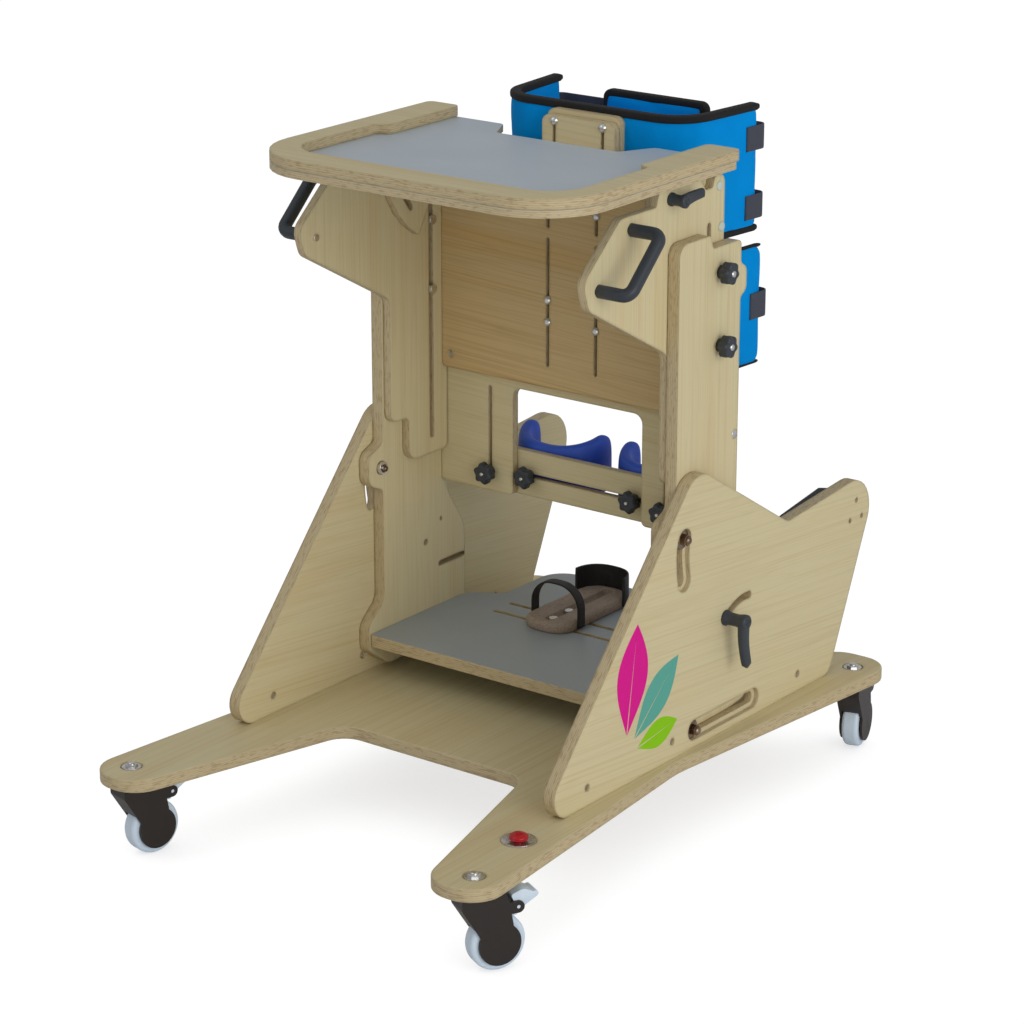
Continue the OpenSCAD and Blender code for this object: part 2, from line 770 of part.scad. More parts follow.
module side_panel() difference() {
    plate_x(panel_in, panel_out, panel_outline());
    for (p = [low, up]) {
        plate_x(panel_in - cut, panel_out + cut, track_slot(track(p), bush_r + seat));
        plate_x(panel_out - track_recess, panel_out + cut, track_slot(track(p), washer_r + washer_room));
    }
    plate_x(panel_in - cut, panel_out + cut, track_slot(track(mid), stud_r + stud_room));
    for (y = panel_bolt_ys) {
        rod_x(panel_in - cut, panel_out + cut, [y, barrel_z], barrel_r + fit);
        rod_z(-cut, barrel_z + bolt_past_barrel, [panel_mid, y], panel_bolt_r + fit);
    }
}
module side_panel_right() place() color(ply) difference() {
    side_panel();
    for (i = [0:accessory_count - 1])
        rod_x(panel_in - cut, panel_out + cut,
            panel_at(accessory_shares) + turn([0, accessory_pcd / 2], 360 * i / accessory_count),
            accessory_hole_r);
}
module side_panel_left() place() color(ply) left_side() side_panel();

module rear_pad() place() color(dark)
    plate_x(panel_in - rear_pad_t, panel_in,
        rounded([for (s = rear_pad_shares) concat(panel_at(s), [edge_r])]));

// Pivot bolts: a bush runs in the track, a washer sits in the track's recess
module pivot_bolt(at, head_seat) {
    rod_x(lower_in - head_seat - pivot_head_h, lower_in - head_seat, at, pivot_head_r);
    rod_x(lower_in - head_seat, panel_out - track_recess + seat, at, pivot_r);
    rod_x(lower_out + head_seat, panel_out - track_recess + seat, at, bush_r);
    washer_x = panel_out - track_recess + seat;
    rod_x(washer_x, washer_x + washer_t, at, washer_r);
    hex_x(washer_x + washer_t, washer_x + washer_t + pivot_nut_h, at, pivot_nut_r);
}
module lower_pivot_bolts() place() color(steel) both_sides() pivot_bolt(low, seat);

// Lower frame
function lower_at(s) = [lower_front + lower_depth * s[0], lower_h * s[1]];
foot_screw_ys = [for (s = foot_screw_shares) lower_front + foot_len * s];
function height_at(z) = [height_y, z];

module screw_bore_x(face, at) {
    rod_x(face - screw_len, face + cut, at, screw_r + fit);
    rod_x(face - screw_head_h, face + cut, at, screw_head_r + fit);
}
module screw_x(face, at) {
    rod_x(face - screw_len, face, at, screw_r);
    rod_x(face - screw_head_h, face, at, screw_head_r);
}
module lower_screw_places() {
    for (z = knee_screw_zs) translate([0, knee_face + knee_t / 2, z]) children();
    for (y = foot_screw_ys) translate([0, y, foot_z + foot_t / 2]) children();
}

module lower_upright() difference() {
    plate_x(lower_in, lower_out, scaled_outline(lower_outline_shares, [lower_front, 0],
        [lower_depth, lower_h], lower_depth));
    for (p = [low, up]) rod_x(lower_in - cut, lower_out + cut, p, pivot_r + fit);
    rod_x(lower_in - cut, lower_out + cut, mid, stud_r + fit);
    for (z = height_zs) rod_x(lower_in - cut, lower_out + cut, height_at(z), height_bolt_r + fit);
    lower_screw_places() screw_bore_x(lower_out, [0, 0]);
    rod_x(lower_in - cut, lower_out + cut, lower_at(cord_hole_shares), cord_hole_r);
    plate_x(lower_in - cut, lower_out + cut,
        stadium(lower_at(strap_slot_shares[0]), lower_at(strap_slot_shares[1]), strap_slot_r));
}
module lower_upright_right() place() color(ply) lower_upright();
module lower_upright_left() place() color(ply) left_side() lower_upright();

module lower_frame_bolts() place() color(steel) both_sides() {
    pivot_bolt(up, 0);
    for (z = height_zs) union() {
        rod_x(upper_in - seat - height_head_h, upper_in - seat, height_at(z), height_head_r);
        rod_x(upper_in - seat, lower_out + knob_stud_grip, height_at(z), height_bolt_r);
    }
    lower_screw_places() screw_x(lower_out, [0, 0]);
}

function foot_outline() = let (half = [[knee_half, lower_front, foot_front_r],
        [knee_half, lower_front + foot_wide, foot_rear_r],
        [foot_narrow_half, lower_front + foot_neck, foot_rear_r / 2],
        [foot_narrow_half, lower_front + foot_len, foot_rear_r]])
    rounded(concat(half, [for (i = [len(half) - 1:-1:0]) [-half[i][0], half[i][1], half[i][2]]]));

module footplate() place() color(film) difference() {
    plate_z(foot_z, foot_z + foot_t, foot_outline());
    for (y = sandal_bolt_ys)
        plate_z(foot_z - cut, foot_z + foot_t + cut,
            stadium([-lateral_slot_half, y], [lateral_slot_half, y], lateral_slot_r));
    both_sides() for (y = foot_screw_ys) screw_bore_x(lower_out, [y, foot_z + foot_t / 2]);
}

module knee_board() place() color(ply) difference() {
    plate_y(knee_face, knee_back, rounded(mirrored([[knee_half, knee_foot + knee_h, edge_r],
        [knee_half, knee_foot, edge_r], [window_half, knee_foot, edge_r],
        [window_half, knee_foot + window_h, window_r]])));
    both_sides() plate_y(knee_face - cut, knee_back + cut,
        stadium([bar_slot_x, bar_slot_foot], [bar_slot_x, bar_slot_top], knob_stud_r + slot_room));
    both_sides() for (z = knee_screw_zs) screw_bore_x(lower_out, [knee_face + knee_t / 2, z]);
}

// Clamp levers: a stud, a round hub and a tapered arm that leans outwards
module clamp_lever(at, stud_end, face, hub_h, arm, arm_t, turn_by, radius) {
    rod_x(stud_end, face + seat, at, radius);
    rod_x(face + seat, face + seat + hub_h, at, lever_hub_r);
    plate_x(face + seat + hub_h - arm_t, face + seat + hub_h,
        link(at, lever_hub_r, at + turn([0, -arm], turn_by), lever_tip_r));
}
module tilt_lever() clamp_lever(mid, lower_in + seat, panel_out, lever_hub_h, lever_arm, lever_arm_t,
    lever_swing, stud_r);
module tilt_lever_right() place() color(dark) tilt_lever();
module tilt_lever_left() place() color(dark) left_side() tilt_lever();

// Star knobs: a collar and a lobed head, drawn along +Z
module star_knob() {
    cylinder(h = knob_collar_h, r = knob_collar_r);
    translate([0, 0, knob_collar_h]) linear_extrude(knob_h) polygon([for (i = [1:knob_points])
        let (a = 360 * i / knob_points)
        knob_r * (1 - knob_lobe_share * (1 - cos(knob_lobes * a)) / 2) * [cos(a), sin(a)]]);
}
module height_knob(z) translate([lower_out + seat, height_y, z]) rotate([0, 90, 0]) difference() {
    star_knob();
    translate([0, 0, -cut]) cylinder(h = knob_stud_grip + cut, r = height_bolt_r + fit);
}
module height_knob_right_low() place() color(dark) height_knob(height_zs[0]);
module height_knob_right_high() place() color(dark) height_knob(height_zs[1]);
module height_knob_left_low() place() color(dark) left_side() height_knob(height_zs[0]);
module height_knob_left_high() place() color(dark) left_side() height_knob(height_zs[1]);

// Sandals
foot_top = foot_z + foot_t;
sole_z = foot_top + seat;
sole_top = sole_z + sole_t;
sole_back = sole_front + sole_len;
function sole_outline(x, grow) = rounded([
    [x - sole_w / 2 - grow, sole_front - grow, sole_w * sole_toe_share + grow],
    [x + sole_w / 2 + grow, sole_front - grow, sole_w * sole_toe_share + grow],
    [x + sole_w / 2 + grow, sole_back + grow, sole_w * sole_heel_share + grow],
    [x - sole_w / 2 - grow, sole_back + grow, sole_w * sole_heel_share + grow]]);

module sandal_bolts(x) for (y = sandal_bolt_ys) union() {
    rod_z(foot_z - seat - sandal_head_h, foot_z - seat, [x, y], sandal_head_r);
    rod_z(foot_z - seat, sole_top - sole_recess_depth + seat, [x, y], sandal_bolt_r);
    rod_z(sole_top - sole_recess_depth + seat, sole_top - sole_recess_depth + seat + sandal_cap_h,
        [x, y], sandal_cap_r);
}
module sandal_bolts_right() place() color(steel) sandal_bolts(sandal_right_x);
module sandal_bolts_left() place() color(steel) left_side() sandal_bolts(sandal_left_x);

module sandal_sole(x) difference() {
    plate_z(sole_z, sole_top, sole_outline(x, 0));
    start = [x, sole_front + sole_slot_start];
    end = [x, sole_back - sole_slot_end];
    plate_z(sole_z - cut, sole_top + cut, stadium(start, end, sandal_bolt_r + slot_room));
    plate_z(sole_top - sole_recess_depth, sole_top + cut, stadium(start, end, sole_recess_r));
}
module sandal_sole_right() place() color("rosybrown") sandal_sole(sandal_right_x);
module sandal_sole_left() place() color("rosybrown") left_side() sandal_sole(sandal_left_x);

module sandal_straps(x) {
    half = sole_w / 2 + fit;
    foot = sole_z + strap_seat;
    top = foot_top + strap_h;
    path = [[x + half, foot, 0], [x + half, top, toe_strap_r],
        [x - half, top, toe_strap_r], [x - half, foot, 0]];
    plate_y(sole_front + toe_strap_start, sole_front + toe_strap_start + toe_strap_w, concat(rounded(path),
        rounded([for (i = [3:-1:0]) [path[i][0] + (i < 2 ? strap_t : -strap_t),
            path[i][1] + (path[i][2] > 0 ? strap_t : 0), path[i][2] > 0 ? path[i][2] + strap_t : 0]])));
    difference() {
        plate_z(foot, foot + heel_cup_h, sole_outline(x, fit + strap_t));
        plate_z(foot - cut, foot + heel_cup_h + cut, sole_outline(x, fit));
        translate([x - sole_w, sole_front - sole_w, foot - cut])
            cube([2 * sole_w, sole_len + sole_w - heel_cup_len, heel_cup_h + 2 * cut]);
    }
}
module sandal_straps_right() place() color("black") sandal_straps(sandal_right_x);
module sandal_straps_left() place() color("black") left_side() sandal_straps(sandal_left_x);

// Upper frame
function upper_at(s) = [upper_front + upper_depth * s[0], upper_z + upper_h * s[1]];
handle_feet = [for (s = handle_feet_shares) upper_at(s)];
board_mid = main_face + main_t / 2;

module upper_upright() difference() {
    plate_x(upper_in, upper_out, scaled_outline(upper_outline_shares, [upper_front, upper_z],
        [upper_depth, upper_h], upper_depth));
    plate_x(upper_in - cut, upper_out + cut,
        stadium(height_at(height_slot_foot), height_at(upper_z + upper_h - height_slot_top),
            height_bolt_r + slot_room));
    rod_x(upper_in - cut, upper_out + cut, tray_pivot, tray_bolt_r + fit);
    rod_x(upper_in - cut, upper_out + cut, tray_clamp, tray_stud_r + fit);
    for (p = handle_feet) rod_x(upper_in - cut, upper_out + cut, p, handle_screw_r + fit);
    for (z = board_screw_zs) screw_bore_x(upper_out, [board_mid, main_z + z]);
}
module upper_upright_right() place() color(ply) upper_upright();
module upper_upright_left() place() color(ply) left_side() upper_upright();

barrel_x = board_half - barrel_in;
module main_board() at_board() color(ply) difference() {
    plate_y(main_face, main_back, let (half = [[board_half, 0, edge_r],
            [board_half, main_h - main_notch_h, edge_r],
            [board_half - main_notch, main_h - main_notch_h, edge_r],
            [board_half - main_notch, main_h, edge_r]])
        rounded(concat(half, [for (i = [len(half) - 1:-1:0]) [-half[i][0], half[i][1], half[i][2]]])));
    both_sides() {
        for (ends = [[lower_slot_foot, lower_slot_top], [upper_slot_foot, upper_slot_top]])
            plate_y(main_face - cut, main_back + cut,
                stadium([slot_half_gap, ends[0]], [slot_half_gap, ends[1]], board_slot_r + slot_room));
        for (z = board_screw_zs) {
            screw_bore_x(upper_out, [board_mid, z]);
            rod_y(main_face - cut, main_back + cut, [barrel_x, z], barrel_r + fit);
        }
    }
}

module grab_handles() place() color(dark) both_sides() difference() {
    union() {
        for (p = handle_feet) {
            rod_x(upper_out, upper_out + handle_off, p, handle_r);
            translate([upper_out + handle_off, p[0], p[1]]) sphere(r = knuckle_r);
        }
        bar = handle_feet[1] - handle_feet[0];
        translate([upper_out + handle_off, handle_feet[0][0], handle_feet[0][1]])
            rotate([heading(bar), 0, 0]) rotate([-90, 0, 0]) cylinder(h = norm(bar), r = handle_r);
    }
    for (p = handle_feet) rod_x(upper_out - cut, upper_out + handle_screw_grip, p, handle_screw_r + fit);
}

module upper_frame_bolts() place() color(steel) both_sides() {
    inner = upper_in - bracket_gap - bracket_t - seat;
    union() {
        rod_x(inner - tray_head_h, inner, tray_pivot, tray_head_r);
        rod_x(inner, upper_out, tray_pivot, tray_bolt_r);
    }
    for (p = handle_feet) union() {
        rod_x(upper_in - handle_screw_head_h, upper_in, p, handle_screw_head_r);
        rod_x(upper_in, upper_out + handle_screw_grip, p, handle_screw_r);
    }
    for (z = board_screw_zs) translate([0, 0, main_z + z]) {
        screw_x(upper_out, [board_mid, 0]);
        difference() {
            rod_y(main_face, main_back, [barrel_x, 0], barrel_r);
            rod_x(barrel_x - barrel_in, board_half, [board_mid, 0], screw_r + fit);
        }
    }
}

// Tray
function mirrored(half) =
    concat([for (i = [len(half) - 1:-1:0]) [-half[i][0], half[i][1], half[i][2]]], half);

module tray_board() place() color(film) plate_z(tray_z, tray_z + tray_t, rounded(mirrored([
    [tray_half, tray_front, tray_corner_r], [tray_half, tray_back, tray_tail_r],
    [belly_mouth_half, tray_back, tray_tail_r], [belly_half, tray_back - belly_depth, tray_tail_r]])));

module tray_rim() place() color(ply) plate_z(tray_z + tray_t, tray_z + tray_t + rim_h, rounded(mirrored([
    [tray_half, tray_front, tray_corner_r], [tray_half, tray_back + rail_past, tray_tail_r],
    [tray_half - rail_w, tray_back + rail_past, tray_tail_r],
    [tray_half - rail_w, tray_front + rail_step, tray_small_r],
    [tray_half - rim_side, tray_front + rail_step - tray_small_r, tray_small_r],
    [tray_half - rim_side, tray_front + rim_front, tray_inner_r]])));

bracket_out = upper_in - bracket_gap;
bracket_in = bracket_out - bracket_t;
bracket_top_angle = 180 - asin(tray_rise / bracket_r);
module tray_brackets() place() color(ply) both_sides() difference() {
    plate_x(bracket_in, bracket_out, concat(arc(tray_pivot, bracket_r, bracket_top_angle, bracket_end),
        arc(tray_pivot, bracket_boss_r, bracket_boss_start, 360),
        [tray_pivot + [bracket_boss_r, tray_rise]]));
    rod_x(bracket_in - cut, bracket_out + cut, tray_pivot, tray_bolt_r + fit);
    plate_x(bracket_in - cut, bracket_out + cut,
        track_slot(arc(tray_pivot, clamp_back, clamp_angle, clamp_angle + tray_tilt), bracket_slot_r));
}

module tray_lever() {
    clamp_lever(tray_clamp, bracket_in - seat, upper_out, tray_lever_hub_h, tray_lever_arm,
        tray_lever_arm_t, tray_lever_turn + 90, tray_stud_r);
    rod_x(bracket_in - seat - tray_head_h, bracket_in - seat, tray_clamp, tray_head_r);
}
module tray_lever_right() place() color(dark) tray_lever();
module tray_lever_left() place() color(dark) left_side() tray_lever();

// Chest support
module dome_bolt(y0, y1, at) {
    dome_y(y0, at, dome_r, dome_h);
    rod_y(y0, y1, at, post_bolt_r);
}
module chest_post() at_board() {
    color(ply) difference() {
        plate_y(post_face, post_back,
            round_box(-post_half, post_half, post_foot, post_foot + post_h, post_r));
        both_sides() {
            plate_y(post_face - cut, post_back + cut, stadium([post_bolt_x, post_slot_foot],
                [post_bolt_x, post_slot_top - post_bolt_r], post_bolt_r + slot_room));
            for (z = post_bolt_zs)
                rod_y(post_face - cut, post_back + cut, [slot_half_gap, z], post_bolt_r + fit);
        }
    }
    color(steel) both_sides() for (z = post_bolt_zs)
        dome_bolt(main_face - seat, post_back - seat, [slot_half_gap, z]);
}
module chest_plate() at_board() {
    color(ply) difference() {
        plate_y(plate_face, plate_back,
            round_box(-post_half, post_half, chest_plate_foot, chest_plate_foot + chest_plate_h, post_r));
        both_sides()
            rod_y(plate_face - cut, plate_back + cut, [post_bolt_x, chest_bolt_z], post_bolt_r + fit);
    }
    color(steel) both_sides() dome_bolt(post_face - seat, plate_back - seat, [post_bolt_x, chest_bolt_z]);
}
module chest_pad() at_board() color(blue)
    padded_strip(pad_path(chest_pad_y, pad_reach), pad_t, chest_pad_foot, chest_pad_foot + chest_pad_h);

back_pad_y = chest_pad_y + pad_reach - back_pad_t + back_pad_gap;
module chest_harness() at_board() {
    color(blue) padded_strip(run([back_pad_half, back_pad_y + back_pad_t / 2],
        [-back_pad_half, back_pad_y + back_pad_t / 2], 2 * pad_rings), back_pad_t,
        back_pad_foot, back_pad_foot + back_pad_h);
    color(webbing) for (z = chest_belt_feet)
        belt(chest_pad_y, pad_reach, back_pad_y + back_pad_t, z, chest_belt_h);
}

// Hip support
module hip_plate() at_board() {
    color(ply) difference() {
        plate_y(post_face, hip_plate_back,
            round_box(-post_half, post_half, hip_plate_foot, hip_plate_foot + hip_plate_h, post_r));
        both_sides() for (z = hip_bolt_zs)
            rod_y(post_face - cut, hip_plate_back + cut, [slot_half_gap, z], post_bolt_r + fit);
    }
    color(steel) both_sides() for (z = hip_bolt_zs)
        dome_bolt(main_face - seat, hip_plate_back - seat, [slot_half_gap, z]);
}
module hip_pad() at_board() color(blue)
    padded_strip(pad_path(hip_pad_y, hip_reach), pad_t, hip_pad_foot, hip_pad_foot + hip_pad_h);
module hip_strap() at_board() color(webbing)
    belt(hip_pad_y, hip_reach, hip_pad_y + hip_reach + belt_room, hip_belt_foot, hip_belt_h);

// Knee support
module knee_bar() place() color(ply) difference() {
    plate_y(bar_face, bar_back, round_box(-bar_half, bar_half, knee_foot, knee_foot + bar_h, bar_r));
    plate_y(bar_face - cut, bar_back + cut,
        stadium([-cup_slot_half, cup_knob_z], [cup_slot_half, cup_knob_z], knob_stud_r + slot_room));
    both_sides() rod_y(bar_face - cut, bar_back + cut, [bar_slot_x, bar_knob_z], knob_stud_r + fit);
}

cup_mid_y = bar_back + seat + cup_t / 2;
function cup_path(x) = let (side = cup_half - cup_t / 2, end_y = bar_back + seat + cup_reach)
    let (a = [x + side, end_y], b = [x + side, cup_mid_y], c = [x - side, cup_mid_y], d = [x - side, end_y])
    let (near = corner(a, b, c, cup_corner_r), far = corner(b, c, d, cup_corner_r), n = len(near) - 1)
    concat(run(a, near[0], cup_wing_rings), near, run(near[n], far[0], cup_front_rings), far,
        [for (i = [1:cup_wing_rings]) far[n] + (d - far[n]) * i / cup_wing_rings]);
function cup_rise(share) = let (out = abs(2 * share - 1))
    let (past = max(0, (out - cup_round_share) / (1 - cup_round_share)))
    cup_dip + (cup_top - cup_dip) * pow(out, cup_flare_share) - cup_end_drop * (1 - sqrt(1 - past * past));
module knee_cup(x) difference() {
    path = cup_path(x);
    last = len(path) - 1;
    skin([for (i = [0:last]) let (end_t = cup_t * (i == 0 || i == last ? pad_end_share : 1))
        pad_ring(path[i], along(path, i), end_t, cup_foot, cup_rise(i / last))]);
    rod_y(bar_back, cup_mid_y, [cup_knob_x, cup_knob_z], knob_stud_r + fit);
}
module knee_cup_right() place() color(deep_blue) knee_cup(cup_right_x);
module knee_cup_left() place() color(deep_blue) left_side() knee_cup(cup_left_x);

// Star knob with a stud, whose collar stands on the plane y and whose head points forwards
module stud_knob(y, tip, at) {
    translate([at[0], y - seat, at[1]]) rotate([90, 0, 0]) star_knob();
    rod_y(y - seat - knob_collar_h - knob_h - knob_tip, tip, at, knob_stud_r);
}
module knee_knob() stud_knob(knee_face, bar_back, [bar_slot_x, bar_knob_z]);
module cup_knob() stud_knob(bar_face, cup_mid_y - seat, [cup_knob_x, cup_knob_z]);
module knee_knob_right() place() color(dark) knee_knob();
module knee_knob_left() place() color(dark) left_side() knee_knob();
module cup_knob_right() place() color(dark) cup_knob();
module cup_knob_left() place() color(dark) left_side() cup_knob();

base_board();
side_panel_left();
side_panel_right();
base_hardware();
rear_pad();
red_button();
castor_fork(fl);  // castor_fl_fork
castor_wheel(fl);  // castor_fl_wheel
castor_pedal(fl);  // castor_fl_pedal
castor_fork(fr);  // castor_fr_fork
castor_wheel(fr);  // castor_fr_wheel
castor_pedal(fr);  // castor_fr_pedal
castor_fork(rl);  // castor_rl_fork
castor_wheel(rl);  // castor_rl_wheel
castor_pedal(rl);  // castor_rl_pedal
castor_fork(rr);  // castor_rr_fork
castor_wheel(rr);  // castor_rr_wheel
castor_pedal(rr);  // castor_rr_pedal
lower_pivot_bolts();
lower_upright_left();
lower_upright_right();
footplate();
knee_board();
lower_frame_bolts();
tilt_lever_left();
tilt_lever_right();
height_knob_left_low();
height_knob_left_high();
height_knob_right_low();
height_knob_right_high();
sandal_bolts_left();
sandal_sole_left();
sandal_straps_left();
sandal_bolts_right();
sandal_sole_right();
sandal_straps_right();
upper_upright_left();
upper_upright_right();
main_board();
grab_handles();
upper_frame_bolts();
tray_board();
tray_rim();
tray_brackets();
tray_lever_left();
tray_lever_right();
chest_post();
chest_plate();
chest_pad();
chest_harness();
hip_plate();
hip_pad();
hip_strap();
knee_bar();
knee_cup_left();
knee_cup_right();
knee_knob_left();
knee_knob_right();
cup_knob_left();
cup_knob_right();
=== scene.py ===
import json
import math

import bmesh
import bpy
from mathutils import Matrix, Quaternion, Vector


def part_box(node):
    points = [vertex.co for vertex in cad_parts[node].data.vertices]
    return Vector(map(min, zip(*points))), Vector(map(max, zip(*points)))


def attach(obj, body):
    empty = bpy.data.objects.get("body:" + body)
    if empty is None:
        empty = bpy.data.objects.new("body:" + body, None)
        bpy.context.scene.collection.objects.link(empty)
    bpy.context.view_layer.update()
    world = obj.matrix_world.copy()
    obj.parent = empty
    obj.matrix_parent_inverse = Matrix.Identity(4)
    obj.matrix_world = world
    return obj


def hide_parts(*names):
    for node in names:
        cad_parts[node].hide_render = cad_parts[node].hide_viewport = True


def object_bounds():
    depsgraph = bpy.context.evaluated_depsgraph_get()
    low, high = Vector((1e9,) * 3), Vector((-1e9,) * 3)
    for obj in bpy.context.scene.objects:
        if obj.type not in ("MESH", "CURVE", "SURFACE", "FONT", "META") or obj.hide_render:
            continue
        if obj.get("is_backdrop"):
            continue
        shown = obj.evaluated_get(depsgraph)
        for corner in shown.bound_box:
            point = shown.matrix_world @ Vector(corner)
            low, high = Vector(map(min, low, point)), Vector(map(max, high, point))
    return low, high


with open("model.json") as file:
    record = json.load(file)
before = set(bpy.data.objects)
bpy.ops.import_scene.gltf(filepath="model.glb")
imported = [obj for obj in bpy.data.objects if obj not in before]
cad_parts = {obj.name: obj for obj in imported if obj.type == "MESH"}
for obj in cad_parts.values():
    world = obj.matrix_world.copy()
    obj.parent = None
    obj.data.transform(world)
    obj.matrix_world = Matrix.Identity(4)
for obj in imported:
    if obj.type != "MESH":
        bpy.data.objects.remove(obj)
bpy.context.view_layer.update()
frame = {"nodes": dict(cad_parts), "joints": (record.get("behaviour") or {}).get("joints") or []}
joint_at = {j["name"]: Vector(j["pos_m"]) for j in frame["joints"] if "pos_m" in j}


# Base board: one sheet of lacquered birch plywood with four castor legs.
# It is cut flat on a router, its edges are eased by hand and the plies show
# as fine stripes all round.
class Wire:
    """One output socket of a material's nodes; sums on it add Math nodes."""

    def __init__(self, tree, socket=None):
        self.tree = tree
        self.socket = socket

    def node(self, kind, settings=None, inputs=None):
        made = self.tree.nodes.new("ShaderNode" + kind)
        for name, value in (settings or {}).items():
            setattr(made, name, value)
        for name, value in (inputs or {}).items():
            if isinstance(value, Wire):
                self.tree.links.new(value.socket, made.inputs[name])
            else:
                made.inputs[name].default_value = value
        return Wire(self.tree, made.outputs[0])

    def other(self, name):
        return Wire(self.tree, self.socket.node.outputs[name])

    def math(self, operation, *values):
        return self.node("Math", {"operation": operation}, dict(enumerate(values)))

    def __add__(self, value):
        return self.math("ADD", self, value)

    def __sub__(self, value):
        return self.math("SUBTRACT", self, value)

    def __rsub__(self, value):
        return self.math("SUBTRACT", value, self)

    def __mul__(self, value):
        return self.math("MULTIPLY", self, value)

    def __gt__(self, value):
        return self.math("GREATER_THAN", self, value)

    def __abs__(self):
        return self.math("ABSOLUTE", self)

    __radd__ = __add__
    __rmul__ = __mul__

    def sine(self):
        return self.math("SINE", self)

    def split(self):
        apart = self.node("SeparateXYZ", {}, {"Vector": self})
        return [apart.other(axis) for axis in "XYZ"]

    def stretched(self, scale, lean=(0, 0, 0)):
        inverse = [1 / s for s in scale]
        sockets = {"Vector": self, "Rotation": lean, "Scale": inverse}
        return self.node("Mapping", {"vector_type": "TEXTURE"}, sockets)

    def noise(self, scale, detail=3):
        return self.node("TexNoise", {}, {"Vector": self, "Scale": scale, "Detail": detail})

    def between(self, low, high):
        limits = {"Value": self, "From Min": low, "From Max": high}
        return self.node("MapRange", {"interpolation_type": "SMOOTHSTEP"}, limits)

    def tint(self, first, second):
        sockets = {0: self, 6: first, 7: second}
        return self.node("Mix", {"data_type": "RGBA"}, sockets).other(2)


def paint(red, green, blue):
    """A colour from its screen values of 0 to 255."""
    parts = [v / 255 for v in (red, green, blue)]
    return [v / 12.92 if v < 0.04045 else ((v + 0.055) / 1.055) ** 2.4 for v in parts] + [1]


def begin_finish(name):
    material = bpy.data.materials.new(name)
    material.use_nodes = True
    return material, Wire(material.node_tree)


def end_finish(material, **sockets):
    """Sets the shader's sockets, given with _ for a space, to values or wires."""
    shader = material.node_tree.nodes["Principled BSDF"]
    for name, value in sockets.items():
        socket = shader.inputs[name.replace("_", " ")]
        if isinstance(value, Wire):
            material.node_tree.links.new(value.socket, socket)
        else:
            socket.default_value = value
    return material


def bumped(wire, height, depth):
    return wire.node("Bump", {}, {"Height": height, "Distance": depth})


birch = paint(216, 203, 162)
birch_fibre = paint(196, 178, 130)
honey_figure_and_shade = paint(206, 172, 114)
shade_fibre = paint(170, 132, 82)
ply_pale = paint(202, 185, 146)
ply_dark = paint(146, 118, 84)
ply_pair, fibre_deep = 0.0028, 0.00008
dash_long, dash_fine = 80, 460
fibre_long, fibre_fine, figure_long, figure_fine = 3, 420, 1.5, 26
board_ease, board_round, base_ease = 0.0014, 0.006, 0.0019
weld_gap, flat_angle, edge_angle = 0.00002, math.radians(0.6), math.radians(38)


def ply_edge(wire, spot, thin):
    """Colour of a cut plywood edge: plies in pairs, with darker dashes of end grain."""
    across = spot.split()["xyz".index(thin)]
    layers = (across * (2 * math.pi / ply_pair)).sine().between(-0.4, 0.9)
    dashes = spot.stretched([dash_fine if axis == thin else dash_long for axis in "xyz"]).noise(1, 2)
    return (layers * 0.24 + dashes.between(0.5, 0.66) * 0.4).tint(ply_pale, ply_dark)


def plywood(name, thin, grain, lean=0.0, shade_warmth=0.0):
    """Lacquered plywood, with rounded edges, whose thin and grain axes are x, y or z; a warmth above nought
    tints it honey-brown as painted shade.
    """
    material, wire = begin_finish(name)
    coordinates = wire.node("TexCoord")
    spot = coordinates.other("Object")
    facing = abs(coordinates.other("Normal").split()["xyz".index(thin)])
    tilt = [lean if axis == thin else 0 for axis in "xyz"]
    fine = [fibre_long if axis == grain else fibre_fine for axis in "xyz"]
    broad = [figure_long if axis == grain else figure_fine for axis in "xyz"]
    fibre = spot.stretched(fine, tilt).noise(1, 4)
    figure = spot.stretched(broad, tilt).noise(1, 2)
    rings = (figure * 60 + fibre * 2).sine()
    lines = fibre.between(0.42, 0.72) * 0.4 + rings.between(0.5, 1) * 0.12
    # A warmth above nought tints the face and its fibres honey-brown: painted shade, as deep inside the
    # frame.
    face = (figure.between(0.5, 0.72) * 0.25 + shade_warmth).tint(birch, honey_figure_and_shade)
    face = lines.tint(face, shade_fibre if shade_warmth else birch_fibre)
    colour = facing.between(0.45, 0.75).tint(ply_edge(wire, spot, thin), face)
    soft = wire.node("Bevel", {"samples": 4}, {"Radius": board_round})
    bump = wire.node("Bump", {}, {"Height": fibre, "Distance": fibre_deep, "Normal": soft})
    return end_finish(material, Base_Color=colour, Roughness=fibre * 0.2 + 0.4, Specular_IOR_Level=0.3,
                      Normal=bump)


def dress(material, names, ease, close=False):
    """Gives CAD nodes a finish and rounded edges, kept smaller where small edges lie close."""
    for name in names:
        node = frame["nodes"][name]
        node.data.materials.clear()
        node.data.materials.append(material)
        node.data.polygons.foreach_set("use_smooth", [True] * len(node.data.polygons))
        node.modifiers.new("weld", "WELD").merge_threshold = weld_gap
        flats = node.modifiers.new("flats", "DECIMATE")
        flats.decimate_type = "DISSOLVE"
        flats.angle_limit = flat_angle
        flats.delimit = {"MATERIAL"}
        edges = node.modifiers.new("edges", "BEVEL")
        edges.width = ease
        edges.segments = 3
        edges.limit_method = "ANGLE"
        edges.angle_limit = edge_angle
        edges.use_clamp_overlap = close
        node.modifiers.new("flat_faces", "WEIGHTED_NORMAL").keep_sharp = False


dress(plywood("plywood_base", "z", "y"), ["base_board"], base_ease)


# Side panels: two plywood sheets that stand on the base board, held by
# bolts into barrel nuts. The grain runs from front to back, and the tracks
# and the bolt holes are cut through them.
panels = ["side_panel_left", "side_panel_right"]
dress(plywood("plywood_panel", "x", "y", -0.09), panels, board_ease, True)


